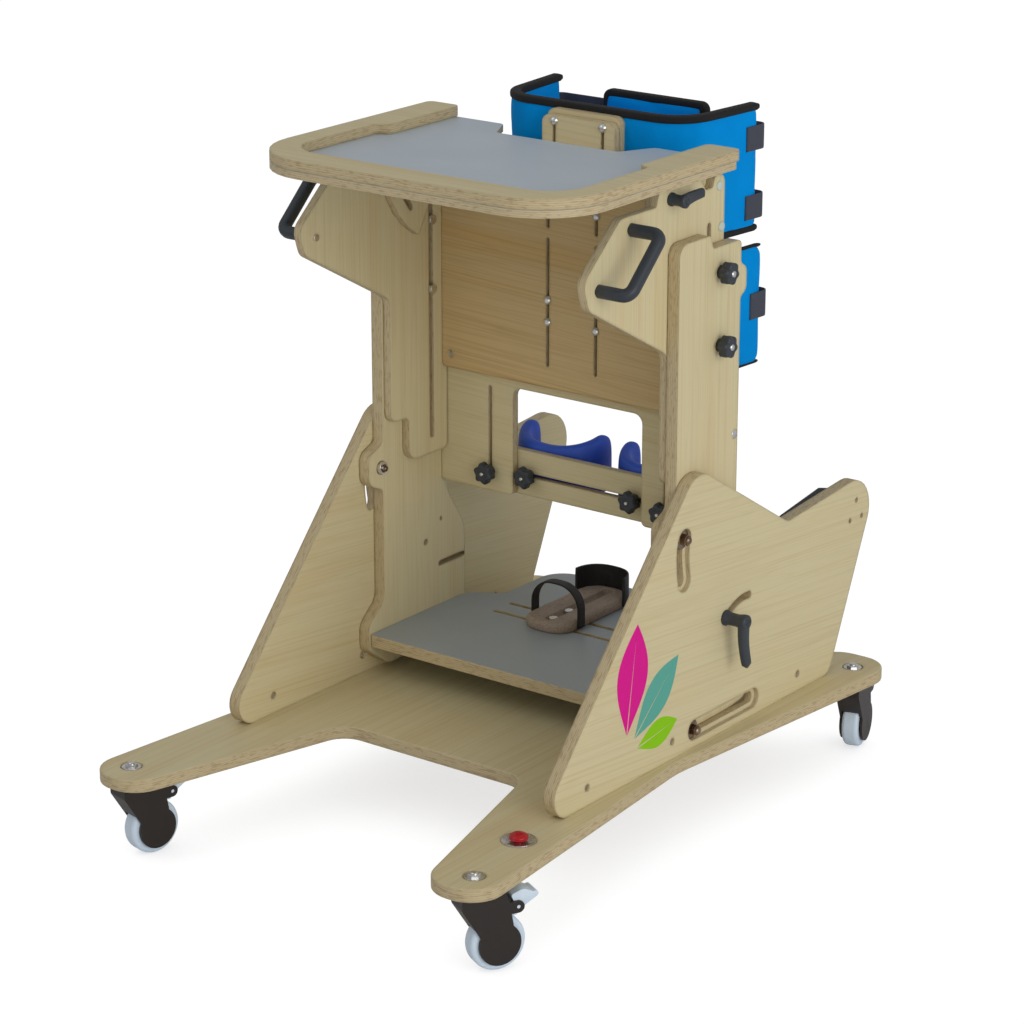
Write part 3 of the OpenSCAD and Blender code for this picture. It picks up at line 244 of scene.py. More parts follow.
# Printed leaves: a fan of three plain leaves in bright film on the outer
# face of the right panel, each in two halves beside its midrib.
# The film is stuck on, so it is far thinner than the panel.
film_thick = 0.0002
leaf_root = Vector((-0.125, 0.170))
leaf_gap = 0.030
leaves = [("magenta", paint(225, 0, 145), 0.15, 0.150, 0.034),
          ("teal", paint(92, 172, 156), 0.85, 0.132, 0.026),
          ("green", paint(140, 205, 0), 1.44, 0.092, 0.019)]
leaf_steps = 20
midrib = 0.0022


def make_piece(name, points, faces, material, body, smooth=True):
    """A mesh piece that rides on a body, with its faces turned outwards."""
    mesh = bpy.data.meshes.new(name)
    mesh.from_pydata([tuple(p) for p in points], [], faces)
    shell = bmesh.new()
    shell.from_mesh(mesh)
    bmesh.ops.recalc_face_normals(shell, faces=shell.faces)
    shell.to_mesh(mesh)
    shell.free()
    mesh.polygons.foreach_set("use_smooth", [smooth] * len(mesh.polygons))
    mesh.materials.append(material)
    made = bpy.data.objects.new(name, mesh)
    bpy.context.scene.collection.objects.link(made)
    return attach(made, body)


def loft(rings, closed=False):
    """Points and faces through rings of equal count, with flat ends unless it closes."""
    count = len(rings[0])
    last = len(rings) if closed else len(rings) - 1
    faces = []
    for i in range(last):
        a, b = i * count, (i + 1) % len(rings) * count
        for j in range(count):
            k = (j + 1) % count
            faces.append((a + j, a + k, b + k, b + j))
    if not closed:
        faces.append(tuple(range(count)))
        faces.append(tuple(range(last * count, (last + 1) * count)))
    return [p for ring in rings for p in ring], faces


def join(shapes):
    """Several (points, faces) shapes as one."""
    points, faces = [], []
    for more_points, more_faces in shapes:
        faces += [tuple(i + len(points) for i in face) for face in more_faces]
        points += more_points
    return points, faces


def film(name, colour):
    material, wire = begin_finish(name)
    grain = wire.node("TexCoord").other("Object").noise(900, 2)
    shade = (grain.between(0.3, 0.7) * 0.12).tint(colour, [v * 0.8 for v in colour[:3]] + [1])
    return end_finish(material, Base_Color=shade, Roughness=grain * 0.15 + 0.4, Specular_IOR_Level=0.2)


def leaf_half(root, along, side, length, half):
    """Outline of one half of a pointed leaf, from its root to its tip and back by the midrib."""
    steps = [i / leaf_steps for i in range(leaf_steps + 1)]
    bow = [math.sin(math.pi * t ** 1.1) for t in steps]
    rib = [root + along * length * t + side * midrib * (1 - t) * 0.5 for t in steps]
    edge = [p + side * half * b for p, b in zip(rib, bow)]
    return edge + rib[-2:0:-1]


panel_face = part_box("side_panel_right")[1].x
for name, colour, turn, length, half in leaves:
    along = Vector((math.sin(turn), math.cos(turn)))
    halves = []
    for sign in (-1, 1):
        side = Vector((along.y, -along.x)) * sign
        outline = leaf_half(leaf_root + along * leaf_gap, along, side, length, half)
        rings = [[Vector((x, p.x, p.y)) for p in outline] for x in (panel_face, panel_face + film_thick)]
        halves.append(loft(rings))
    make_piece("leaf_print_" + name, *join(halves), film("film_" + name, colour), "base", False)


# Base hardware: zinc plated castor bolts in round recesses, panel bolts with
# barrel nuts, and the turned cup round the button. Each castor bolt carries
# a hexagon nut, and each barrel nut, sunk in the panel, a screwdriver slot.
def plated(name, dark, pale):
    """Plated steel with a soft cloudy shine and fine turning marks."""
    material, wire = begin_finish(name)
    spot = wire.node("TexCoord").other("Object")
    cloud = spot.noise(60, 2)
    brushed = spot.stretched((500, 500, 40)).noise(1, 2)
    return end_finish(material, Base_Color=cloud.between(0.3, 0.7).tint(dark, pale), Metallic=1.0,
                      Roughness=cloud * 0.14 + brushed * 0.1 + 0.16, Normal=bumped(wire, brushed, 0.00001))


zinc = plated("zinc", paint(208, 208, 210), paint(232, 232, 230))
fine_ease, bolt_ease = 0.0006, 0.0008
dress(zinc, ["base_hardware"], fine_ease)
base_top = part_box("base_board")[1].z
castor_corners = ("fl", "fr", "rl", "rr")
nut_flat, nut_tall, nut_rim, nut_top = 0.0085, 0.0036, 0.8, 0.86
bolt_end, bolt_tall, bolt_rim, bolt_top = 0.0048, 0.0056, 0.85, 0.8
head_drop = 0.0009


def circle(centre, first, second, radius, count):
    angles = [2 * math.pi * i / count for i in range(count)]
    return [centre + (first * math.cos(a) + second * math.sin(a)) * radius for a in angles]


def turned(centre, axis, profile, count=32):
    """A turned shape from (radius, height) pairs along an axis."""
    axis = Vector(axis).normalized()
    first = axis.orthogonal().normalized()
    second = axis.cross(first)
    return loft([circle(centre + axis * h, first, second, r, count) for r, h in profile])


castor_bolts = []
for corner in castor_corners:
    swivel = joint_at["swivel_" + corner]
    at = Vector((swivel.x, swivel.y, base_top - head_drop))
    for wide, tall, rim, top, count in ((nut_flat, nut_tall, nut_rim, nut_top, 6),
                                        (bolt_end, bolt_tall, bolt_rim, bolt_top, 32)):
        castor_bolts.append(turned(at, (0, 0, 1), [(wide, 0), (wide, tall * rim), (wide * top, tall)], count))
make_piece("castor_bolt_nuts", *join(castor_bolts), zinc, "base", False)

panel_low, panel_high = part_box("side_panel_right")
barrel_places = [-0.2078, -0.0143, 0.2956]
barrel_rise, barrel_sunk = 0.026, 0.004
barrel_round, barrel_slot, barrel_proud, barrel_top = 0.0046, 0.0007, 0.0004, 0.92
arc_steps, arc_start, arc_sweep = 12, 0.06, 0.88
bend = [math.pi * (arc_start + arc_sweep * i / arc_steps) for i in range(arc_steps + 1)]
barrels = []
for place in barrel_places:
    for side in (-1, 1):
        for face, out in ((panel_high.x - barrel_sunk, 1), (panel_low.x + barrel_sunk, -1)):
            at = Vector((face * side, place, base_top + barrel_rise))
            for sign in (-1, 1):
                half = [Vector((0, math.cos(a), math.sin(a) * sign)) * barrel_round for a in bend]
                rise = Vector((out * side * barrel_proud, 0, sign * barrel_slot))
                barrels.append(loft([[at + p for p in half], [at + p * barrel_top + rise for p in half]]))
make_piece("barrel_nut_slots", *join(barrels), zinc, "base", False)


# Rear pad: a dark rubber pad on the inner face of the right panel, along the
# top edge of its rear lobe. The rubber has a fine pebbled skin.
def moulded(name, colour, roughness, grain=1400, depth=0.00008):
    """Moulded plastic or rubber with a fine grain and a few paler scuffs."""
    material, wire = begin_finish(name)
    spot = wire.node("TexCoord").other("Object")
    pebble = spot.noise(grain, 2)
    scuff = spot.noise(38, 5).between(0.55, 0.8)
    pale = [min(1, v * 1.35 + 0.003) for v in colour[:3]] + [1]
    return end_finish(material, Base_Color=(scuff * 0.35 + pebble * 0.1).tint(colour, pale),
                      Roughness=pebble * 0.16 + scuff * 0.1 + roughness - 0.08,
                      Normal=bumped(wire, pebble, depth))


dark_plastic = moulded("dark_plastic", paint(50, 56, 63), 0.46)
pad_ease = 0.004
dress(moulded("pad_rubber", paint(44, 45, 47), 0.62, 700, 0.0002), ["rear_pad"], pad_ease)


# Push button: a domed red plastic cap in the steel cup on the right front leg.
# It is moulded with its stem, and a collar under the board keeps it in.
dress(moulded("red_plastic", paint(176, 10, 24), 0.2, 500, 0.00002), ["red_button"], fine_ease)


# Castors: a dark brown nylon hood on a swivel, a wheel with a pale tyre on
# a dark hub, and a pale brake pedal over the tyre. The axle is a steel pin.
hood_finish = moulded("castor_hood", paint(37, 28, 24), 0.4, 900, 0.00005)
tyre_finish = moulded("castor_tyre", paint(212, 228, 244), 0.42, 600, 0.00003)
tyre_inner, axle_round = 0.0258, 0.00402
hood_ease, pedal_ease, wheel_ease = 0.0018, 0.0015, 0.0012
for corner in castor_corners:
    dress(hood_finish, [f"castor_{corner}_fork"], hood_ease, True)
    dress(tyre_finish, [f"castor_{corner}_pedal"], pedal_ease, True)
    dress(hood_finish, [f"castor_{corner}_wheel"], wheel_ease)
    axle = next(j for j in frame["joints"] if j["name"] == "roll_" + corner)
    centre, line = Vector(axle["pos_m"]), Vector(axle["axis"]).normalized()
    for node, finish, chosen in ((f"castor_{corner}_wheel", tyre_finish, lambda r: min(r) > tyre_inner),
                                 (f"castor_{corner}_fork", zinc, lambda r: max(r) < axle_round)):
        mesh = frame["nodes"][node].data
        mesh.materials.append(finish)
        away = [(v.co - centre - line * (v.co - centre).dot(line)).length for v in mesh.vertices]
        for face in mesh.polygons:
            face.material_index = int(chosen([away[i] for i in face.vertices]))


# Lower frame: two plywood uprights with their grain upright, joined by the
# footplate and the knee board with long screws. The pivot bolts end in dome
# nuts in the panels' tracks, and the upper ones in a nut inside as well.
dress(plywood("plywood_upright", "x", "z"),
      ["lower_upright_left", "lower_upright_right", "upper_upright_left", "upper_upright_right",
       "tray_brackets"], board_ease, True)
board_finish = plywood("plywood_board", "y", "x", 0.05)
dress(board_finish, ["knee_board"], board_ease, True)
# The main board's warmth of 0.7 is painted shade: its faces are tinted honey-brown as if shaded inside the
# frame.
dress(plywood("plywood_main", "y", "x", 0.05, 0.7), ["main_board"], board_ease, True)
dress(zinc, ["lower_frame_bolts", "lower_pivot_bolts"], bolt_ease)

bronze = plated("bronze_zinc", paint(128, 108, 92), paint(168, 148, 130))
dome_round, dome_share, dome_sunk = 0.0062, 0.75, 0.0002
dome = [(dome_round * math.cos(a), dome_round * dome_share * math.sin(a) - dome_sunk)
        for a in (0, 0.4, 0.8, 1.15, 1.4, 1.53)]
inner_nut = [(0.0098, -0.001), (0.0098, 0.0012), (0.0066, 0.0014), (0.0066, 0.0058), (0.0055, 0.0066),
             (0.0038, 0.0068), (0.0038, 0.0105), (0.0028, 0.0113)]
washer_round, upright_thick = 0.016, 0.019
pivot_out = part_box("lower_pivot_bolts")[1].x
upper_pivot = Vector((0, -0.030, 0.278))
for node, body, label, lift in (("lower_pivot_bolts", "carriage", "lower", Vector()),
                                ("lower_frame_bolts", "lower_frame", "upper", upper_pivot)):
    pivot = joint_at["tilt"] + lift
    caps = []
    for side in (-1, 1):
        caps.append(turned(Vector((pivot_out * side, pivot.y, pivot.z)), (side, 0, 0), dome))
        if label == "upper":
            inner = Vector(((panel_low.x - upright_thick) * side, pivot.y, pivot.z))
            caps.append(turned(inner, (-side, 0, 0), inner_nut))
    make_piece(f"dome_nuts_{label}", *join(caps), bronze, body)
    mesh = frame["nodes"][node].data
    mesh.materials.append(bronze)
    for face in mesh.polygons:
        away = face.center - pivot
        outside = abs(face.center.x) > panel_low.x
        face.material_index = int(outside and math.hypot(away.y, away.z) < washer_round)


# Footplate and tray board: plywood faced on both sides with a hard grey
# laminate. The cut edges still show the plies, and the footplate's laminate is painted darker as painted
# shade under the tray.
def laminate_finish(name, pale, dark):
    material, wire = begin_finish(name)
    coordinates = wire.node("TexCoord")
    spot = coordinates.other("Object")
    facing = abs(coordinates.other("Normal").split()[2])
    speckle = spot.noise(700, 2)
    cloud = spot.noise(9, 4)
    top = (speckle.between(0.35, 0.65) * 0.25 + cloud.between(0.3, 0.7) * 0.3).tint(pale, dark)
    colour = facing.between(0.6, 0.85).tint(ply_edge(wire, spot, "z"), top)
    return end_finish(material, Base_Color=colour, Roughness=speckle * 0.14 + cloud * 0.08 + 0.27,
                      Normal=bumped(wire, speckle, 0.00004))


laminate_ease = 0.0008
# The footplate's pair is darker than the tray's: painted shade under the tray on the same laminate.
for board, pale, dark in (("footplate", paint(164, 172, 175), paint(152, 160, 164)),
                          ("tray_board", paint(190, 202, 212), paint(178, 190, 200))):
    dress(laminate_finish(board + "_laminate", pale, dark), [board], laminate_ease)


# Clamp levers: glass filled nylon handles on a threaded stud. The hub is
# turned with a flange, and the arm leaves its outer end and tapers to a
# rounded tip. Two large ones lock the tilt and two small ones the tray.
def superellipse(count, power):
    """Unit outline between a circle and a square, as (a, b) pairs."""
    angles = [2 * math.pi * i / count for i in range(count)]

    def grown(v):
        return math.copysign(abs(v) ** power, v)
    return [(grown(math.cos(a)), grown(math.sin(a))) for a in angles]


def swept(line, sides, sizes, count=20, power=0.7, closed=False):
    """Shape along a line of points: at each, half sizes along its side and across it."""
    section = superellipse(count, power)
    rings = []
    for i, at in enumerate(line):
        after = line[(i + 1) % len(line)] if closed else line[min(i + 1, len(line) - 1)]
        before = line[i - 1] if closed else line[max(i - 1, 0)]
        ahead = (after - before).normalized()
        across = ahead.cross(sides[i]).normalized()
        wide, thick = sizes[i]
        rings.append([at + sides[i] * a * wide + across * b * thick for a, b in section])
    return loft(rings, closed)


def lever(kind, side, face, reach, hub_wide, arm_wide):
    """A clamp lever in place of its CAD node, from the face it clamps to the end of its reach."""
    node = f"{kind}_lever_{side}"
    low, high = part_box(node)
    pivot = joint_at[f"{kind}_clamp_{side}"]
    out = 1 if low.x + high.x > 0 else -1
    hub = max(high.x, -low.x) - face
    axis = Vector((out, 0, 0))
    foot = Vector((out * face, pivot.y, pivot.z))
    profile = [(0.6, -hub_sunk), (1, 0), (1, flange), (0.84, flange * 1.5), (0.8, hub * 0.55),
               (0.98, hub * 0.8), (0.98, hub * 0.95), (0.82, hub), (0.5, hub), (0.42, hub - hub_dish)]
    shapes = [turned(foot, axis, [(hub_wide * r, h) for r, h in profile])]
    top = foot + axis * (hub - arm_wide * 0.7)
    line, sizes = [], []
    for i in range(lever_steps + 1):
        t = i / lever_steps
        lift = -0.10 * math.sin(math.pi * t) + 0.02 * t
        line.append(top + reach * t + axis * lift * arm_wide * 3)
        taper = 1 - 0.36 * t + 0.16 * max(0, t - 0.6)
        end = math.sqrt(max(0.02, 1 - max(0, (t - 0.9) / 0.105) ** 2))
        sizes.append((hub_wide * taper * end, arm_wide * 0.62 * (0.8 + 0.2 * taper) * end))
    across = axis.cross(reach).normalized()
    shapes.append(swept(line, [across] * len(line), sizes))
    made = make_piece(f"{kind}_handle_{side}", *join(shapes), dark_plastic, node)
    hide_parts(node)


lower_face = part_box("lower_upright_right")[1].x
upper_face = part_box("upper_upright_right")[1].x
seat_gap, lever_steps = 0.0003, 14
flange, hub_sunk, hub_dish = 0.003, 0.0002, 0.0012
tilt_reach, tilt_hub, tilt_arm = Vector((0, 0.0098, -0.0680)), 0.0108, 0.0092
tray_reach, tray_hub, tray_arm = Vector((0, 0.0458, 0.004)), 0.0090, 0.0072
for side in ("left", "right"):
    lever("tilt", side, panel_face + seat_gap, tilt_reach, tilt_hub, tilt_arm)
    lever("tray", side, upper_face + seat_gap, tray_reach, tray_hub, tray_arm)


# Star knobs: six lobed knobs in dark plastic, with the bright end of the bolt
# or stud in the middle of the head. The four height knobs run on the bolts
# of the lower frame; the knee knobs have studs of their own.
knob_round, knob_tall, bolt_round, stud_round = 0.016, 0.021, 0.004, 0.0025
lobe_count, lobe_depth, knob_count = 6, 0.22, 60
bolt_proud, bolt_tip, stud_gap, stem_gap = 0.0008, 0.0012, 0.0007, 0.0001
knob_levels = [(0.56, 0.0, 0.0), (0.56, 0.0, 0.005), (0.6, 0.1, 0.0068), (0.93, 1, 0.0072),
               (1, 1, 0.0088), (1, 1, 0.0165), (0.97, 1, 0.0185), (0.88, 0.9, 0.0200),
               (0.7, 0.6, 0.0208), (0.5, 0.1, 0.0210), (0.42, 0.0, 0.0206), (0.3, 0.0, 0.0205)]


def star_knob(name, node, foot, axis, stem, depth):
    """A knob in place of its CAD node: its collar at foot, its head along axis, a stem down to depth."""
    axis = Vector(axis)
    first = axis.orthogonal().normalized()
    second = axis.cross(first)
    rings = []
    if depth:
        rings += [circle(foot + axis * h, first, second, stem, knob_count) for h in (-depth, -stem_gap)]
    for size, lobed, height in knob_levels:
        ring = []
        for i in range(knob_count):
            a = 2 * math.pi * i / knob_count
            dip = lobe_depth * lobed * (1 - math.cos(lobe_count * a)) / 2
            ring.append(foot + axis * height
                        + (first * math.cos(a) + second * math.sin(a)) * knob_round * size * (1 - dip))
        rings.append(ring)
    rings += [circle(foot + axis * h, first, second, r, knob_count) for r, h in (
        (stem, knob_levels[-1][2]), (stem, knob_tall + bolt_proud), (stem * 0.7, knob_tall + bolt_tip))]
    made = make_piece(name, *loft(rings), dark_plastic, node)
    made.data.materials.append(zinc)
    for face in made.data.polygons:
        away = face.center - foot
        face.material_index = int((away - axis * away.dot(axis)).length < stem * 1.02)
    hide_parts(node)


for side, sign in (("left", -1), ("right", 1)):
    for level in ("low", "high"):
        node = f"height_knob_{side}_{level}"
        at = joint_at[f"height_clamp_{side}_{level}"]
        star_knob(f"star_{side}_{level}", node, Vector((sign * (lower_face + seat_gap), at.y, at.z)),
                  (sign, 0, 0), bolt_round, 0)
    for kind in ("knee", "cup"):
        node = f"{kind}_knob_{side}"
        low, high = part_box(node)
        at = joint_at[f"{kind}_clamp_{side}"]
        foot = Vector((at.x, low.y + knob_tall + stud_gap, at.z))
        star_knob(f"star_{kind}_{side}", node, foot, (0, -1, 0), stud_round, high.y - foot.y)


# Sandals: a firm brown foam sole with a slot for its two clamp bolts, a
# leather toe strap over it and a leather heel cup round its back. The straps
# are glued and stitched to the sole's edge.
def sole_finish():
    material, wire = begin_finish("sole_foam")
    spot = wire.node("TexCoord").other("Object")
    crumb = spot.noise(420, 3)
    fleck = spot.node("TexVoronoi", {}, {"Vector": spot, "Scale": 260}).between(0.1, 0.5)
    colour = (crumb.between(0.35, 0.7) * 0.6 + fleck * 0.3).tint(paint(178, 160, 142), paint(146, 128, 112))
    return end_finish(material, Base_Color=colour, Roughness=crumb * 0.2 + 0.62,
                      Normal=bumped(wire, crumb, 0.00025))


def leather_finish():
    material, wire = begin_finish("strap_leather")
    spot = wire.node("TexCoord").other("Object")
    pores = spot.node("TexVoronoi", {"feature": "DISTANCE_TO_EDGE"}, {"Vector": spot, "Scale": 520})
    crease = pores.between(0.0, 0.12)
    wear = spot.noise(60, 4).between(0.5, 0.8)
    colour = (wear * 0.5 + crease * 0.2).tint(paint(30, 28, 27), paint(58, 54, 52))
    return end_finish(material, Base_Color=colour, Roughness=0.62 - crease * 0.14,
                      Normal=bumped(wire, crease, 0.00018))


def filleted(corners, radius, steps=8):
    """A line through the corners with each inner one rounded by an arc."""
    line = [corners[0]]
    for before, here, after in zip(corners, corners[1:], corners[2:]):
        a, b = (before - here).normalized(), (after - here).normalized()
        half = a.angle(b) / 2
        start = here + a * (radius / math.tan(half))
        centre = here + (a + b).normalized() * (radius / math.sin(half))
        spin = (start - centre).cross(-a).normalized()
        sweep = math.pi - 2 * half
        line += [centre + Quaternion(spin, sweep * i / steps) @ (start - centre) for i in range(steps + 1)]
    return line + [corners[-1]]


def spaced(line, count):
    """The line's own course as count + 1 points at even distances."""
    lengths = [(b - a).length for a, b in zip(line, line[1:])]
    step = sum(lengths) / count
    points, i, passed = [], 0, 0.0
    for k in range(count + 1):
        while i < len(lengths) - 1 and passed + lengths[i] < k * step - 1e-9:
            passed += lengths[i]
            i += 1
        points.append(line[i].lerp(line[i + 1], min(1, (k * step - passed) / lengths[i])))
    return points


def sole_ring(low, high, inset, z, count):
    """Outline of the sole, moved in by inset, from the middle of its toe."""
    half = (high.x - low.x) / 2 - inset
    middle = (low.x + high.x) / 2
    front, back = low.y + inset, high.y - inset
    ring = []
    for i in range(count):
        a = 2 * math.pi * i / count
        bow = half * sole_toe if math.cos(a) > 0 else half * sole_heel
        power = 0.74 if math.cos(a) > 0 else 0.9
        x = middle + half * math.copysign(abs(math.sin(a)) ** 0.82, math.sin(a))
        centre = front + bow if math.cos(a) > 0 else back - bow
        y = centre - bow * math.copysign(abs(math.cos(a)) ** power, math.cos(a))
        ring.append(Vector((x, y, z)))
    return ring


def slot_ring(low, high, radius, z, count):
    """Outline of the sole's slot, from the middle of its front end."""
    middle = (low.x + high.x) / 2
    front, back = low.y + slot_front, high.y - slot_rear
    ring = []
    for i in range(count):
        a = 2 * math.pi * i / count
        centre = front if math.cos(a) > 0 else back
        ring.append(Vector((middle + radius * math.sin(a), centre - radius * math.cos(a), z)))
    return ring


sole_foam, leather = sole_finish(), leather_finish()
slot_round, recess_round, recess_deep, recess_ease = 0.0034, 0.007, 0.006, 0.001
slot_front, slot_rear, sole_toe, sole_heel = 0.024, 0.020, 0.86, 0.98
strap_thick, toe_wide, toe_start, heel_tall, heel_wrap = 0.003, 0.017, 0.034, 0.044, 0.040
strap_foot, strap_top, strap_bend, strap_seat = 0.003, 0.062, 0.034, 0.0002
sole_top = [(0.014, 0), (0.007, 0.0012), (0.0035, 0.0012), (0.001, -0.0012), (0, -0.004)]
sole_foot = [(0, 0.003), (0.0015, 0), (0.008, 0)]
ring_count, heel_count = 72, 96
for side in ("left", "right"):
    low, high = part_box(f"sandal_sole_{side}")
    top, foot = high.z, low.z
    slot_levels = [(slot_round, foot), (slot_round, top - recess_deep), (recess_round, top - recess_deep),
                   (recess_round, top - recess_ease), (recess_round + recess_ease, top)]
    rings = [slot_ring(low, high, r, z, ring_count) for r, z in slot_levels]
    rings += [sole_ring(low, high, inset, top + lift, ring_count) for inset, lift in sole_top]
    rings += [sole_ring(low, high, inset, foot + lift, ring_count) for inset, lift in sole_foot]
    sole = make_piece(f"sole_{side}", *loft(rings, closed=True), sole_foam, f"sandal_{side}")
    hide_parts(f"sandal_sole_{side}")

    middle = (low.x + high.x) / 2
    half = (high.x - low.x) / 2 + strap_thick / 2
    arch_low, arch_top = foot + strap_foot, foot + strap_top
    arch = filleted([Vector((middle + half, 0, arch_low)), Vector((middle + half, 0, arch_top)),
                     Vector((middle - half, 0, arch_top)), Vector((middle - half, 0, arch_low))],
                    strap_bend, 10)
    strap_y = low.y + toe_start + toe_wide / 2
    arch = [p + Vector((0, strap_y, 0)) for p in spaced(arch, 36)]
    shapes = [swept(arch, [Vector((0, 1, 0))] * len(arch),
                    [(toe_wide / 2, strap_thick / 2)] * len(arch), 24, 0.45)]
    outline = sole_ring(low, high, -strap_thick / 2 - strap_seat, arch_low + heel_tall / 2, heel_count)
    heel = spaced([p for p in outline if p.y > high.y - heel_wrap], 40)
    shapes.append(swept(heel, [Vector((0, 0, 1))] * len(heel),
                        [(heel_tall / 2, strap_thick / 2)] * len(heel), 24, 0.4))
    straps = make_piece(f"straps_{side}", *join(shapes), leather, f"sandal_{side}")
    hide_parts(f"sandal_straps_{side}")
    dress(zinc, [f"sandal_bolts_{side}"], fine_ease)


# Grab handles: bridge handles moulded in dark plastic, screwed on from
# inside the wings of the upper uprights. The legs turn into the bar by
# a tight round bend.
grip_low, grip_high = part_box("grab_handles")
handle_half, knuckle, handle_bend = 0.0085, 0.0088, 0.012
handle_top = grip_high.x - knuckle
ends = [Vector((0, grip_high.y - knuckle, grip_high.z - knuckle)),
        Vector((0, grip_low.y + knuckle, grip_low.z + knuckle))]
handles = []
for sign in (-1, 1):
    path = [end + Vector((sign * x, 0, 0)) for end, x in ((ends[0], upper_face), (ends[0], handle_top),
                                                         (ends[1], handle_top), (ends[1], upper_face))]
    line = spaced(filleted(path, handle_bend), 60)
    across = (path[1] - path[0]).cross(path[2] - path[1]).normalized()
    sizes = [(handle_half, handle_half * 0.95)] * len(line)
    handles.append(swept(line, [across] * len(line), sizes, 24, 0.8))
grips = make_piece("bridge_handles", *join(handles), dark_plastic, "upper_frame")
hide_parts("grab_handles")
dress(zinc, ["upper_frame_bolts"], fine_ease)


# Cover caps: thin pale plastic caps pressed over the screw heads and the tray
# pivots on the outer faces of the upper uprights.
cap_round, cap_tall = 0.0068, 0.0016
screw_drop = Vector((0, 0.0059, -0.0559))
cap_places = [joint_at["tray_tilt"], joint_at["tray_tilt"] + screw_drop]
cap_plastic = moulded("cap_plastic", paint(196, 206, 194), 0.3, 600, 0.00002)
cap_bow = [(cap_round * r, cap_tall * h) for r, h in ((1, 0), (1, 0.4), (0.8, 0.85), (0.4, 1), (0.05, 1))]
caps = []
for place in cap_places:
    for sign in (-1, 1):
        caps.append(turned(Vector((sign * upper_face, place.y, place.z)), (sign, 0, 0), cap_bow))
make_piece("cover_caps", *join(caps), cap_plastic, "upper_frame")


# Tray: a laminate faced board with a plywood rim glued on top at the front
# and the sides, and a bracket under each side that turns on the pivot.
dress(plywood("plywood_rim", "z", "x"), ["tray_rim"], board_ease)


# Chest and hip supports: plywood plates with dome headed bolts in the slots
# of the main board.
def dress_bolted(node, plate_front):
    """A plate with its bolts: what lies ahead of the plate's front is steel."""
    dress(board_finish, [node], board_ease, True)
    mesh = frame["nodes"][node].data
    mesh.materials.append(zinc)
    for face in mesh.polygons:
        rearmost = max(mesh.vertices[i].co.y for i in face.vertices)
        face.material_index = int(rearmost < plate_front + face_slack)


face_slack, post_thick = 0.00005, 0.0125
main_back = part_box("main_board")[1].y
dress_bolted("chest_post", main_back)
dress_bolted("chest_plate", main_back + post_thick)
dress_bolted("hip_plate", main_back)


# Pads: a blue knitted cover over a foam band that bends round the body, bound
# with black tape along its long edges, or all round on the back pad. The chest
# and hip pads are fixed to their plates; the back pad hangs on the belts.
def level_run(wire):
    """The place on a piece, the distance along its level run and the height."""
    coordinates = wire.node("TexCoord")
    spot = coordinates.other("Object")
    x, y, z = spot.split()
    sideways = abs(coordinates.other("Normal").split()[0]) > 0.7
    return spot, x * (1 - sideways) + y * sideways, z


def knit_finish():
    material, wire = begin_finish("pad_fabric")
    spot, along, z = level_run(wire)
    pitch = 2 * math.pi / loop_wide
    loops = (z * pitch).sine() * (along * pitch).sine()
    fuzz = spot.noise(900, 3)
    shade = spot.noise(14, 3).between(0.3, 0.7)
    mottle = loops.between(-1, 1) * 0.14 + fuzz * 0.18 + shade * 0.2
    return end_finish(material, Base_Color=mottle.tint(paint(0, 156, 240), paint(0, 122, 206)),
                      Roughness=0.9 - fuzz * 0.12, Specular_IOR_Level=0.06,
                      Normal=bumped(wire, loops * 0.6 + fuzz * 0.4, 0.0002))


def tape_finish(name, dark, pale, pitch):
    """Woven tape: crossed ribs with a little fuzz."""
    material, wire = begin_finish(name)
    spot, along, z = level_run(wire)
    turn = 2 * math.pi / pitch
    weave = ((z + along) * turn).sine() * ((z - along) * turn).sine()
    fuzz = spot.noise(1100, 2)
    colour = (weave.between(-0.6, 0.9) * 0.6 + fuzz * 0.2).tint(dark, pale)
    return end_finish(material, Base_Color=colour, Roughness=0.8 - fuzz * 0.12,
                      Normal=bumped(wire, weave, 0.00025))


loop_wide = 0.0016
knit = knit_finish()
binding_tape = tape_finish("binding_tape", paint(8, 8, 10), paint(22, 22, 25), 0.0018)
webbing = tape_finish("webbing", paint(62, 65, 78), paint(86, 90, 104), 0.0024)
pad_thick, pad_corner, pad_flare, pad_bend = 0.014, 0.150, 0.015, 0.053
binding_wide, binding_high = 0.0080, 0.0055
edge_round, tape_end, band_steps, turn_steps, end_steps = 0.012, 0.001, 110, 7, 12
swell_voxel, swell_pressure, swell_frames = 0.005, 4, 20


def band_places(line):
    """Even points of a level line, each with the level direction across it."""
    places = []
    for i, at in enumerate(line):
        ahead = (line[min(i + 1, len(line) - 1)] - line[max(i - 1, 0)]).normalized()
        places.append((at, Vector((-ahead.y, ahead.x, 0))))
    return places


def band(places, thick, foot, top):
    """A padded band of even thickness along the places, rounded at its ends."""
    section = superellipse(28, 0.36)
    total = len(places) - 1
    step = (places[1][0] - places[0][0]).length
    rings = []
    for i, (at, across) in enumerate(places):
        from_end = min(i, total - i) * step
        inset = 0.0
        if from_end < edge_round:
            inset = edge_round - math.sqrt(edge_round ** 2 - (edge_round - from_end) ** 2)
        half_high = (top - foot) / 2 - inset * 0.8
        half_thick = thick / 2 * (0.55 if i in (0, total) else 1)
        rings.append([Vector((at.x, at.y, (foot + top) / 2)) + across * a * half_thick
                      + Vector((0, 0, b * half_high)) for a, b in section])
    return loft(rings)


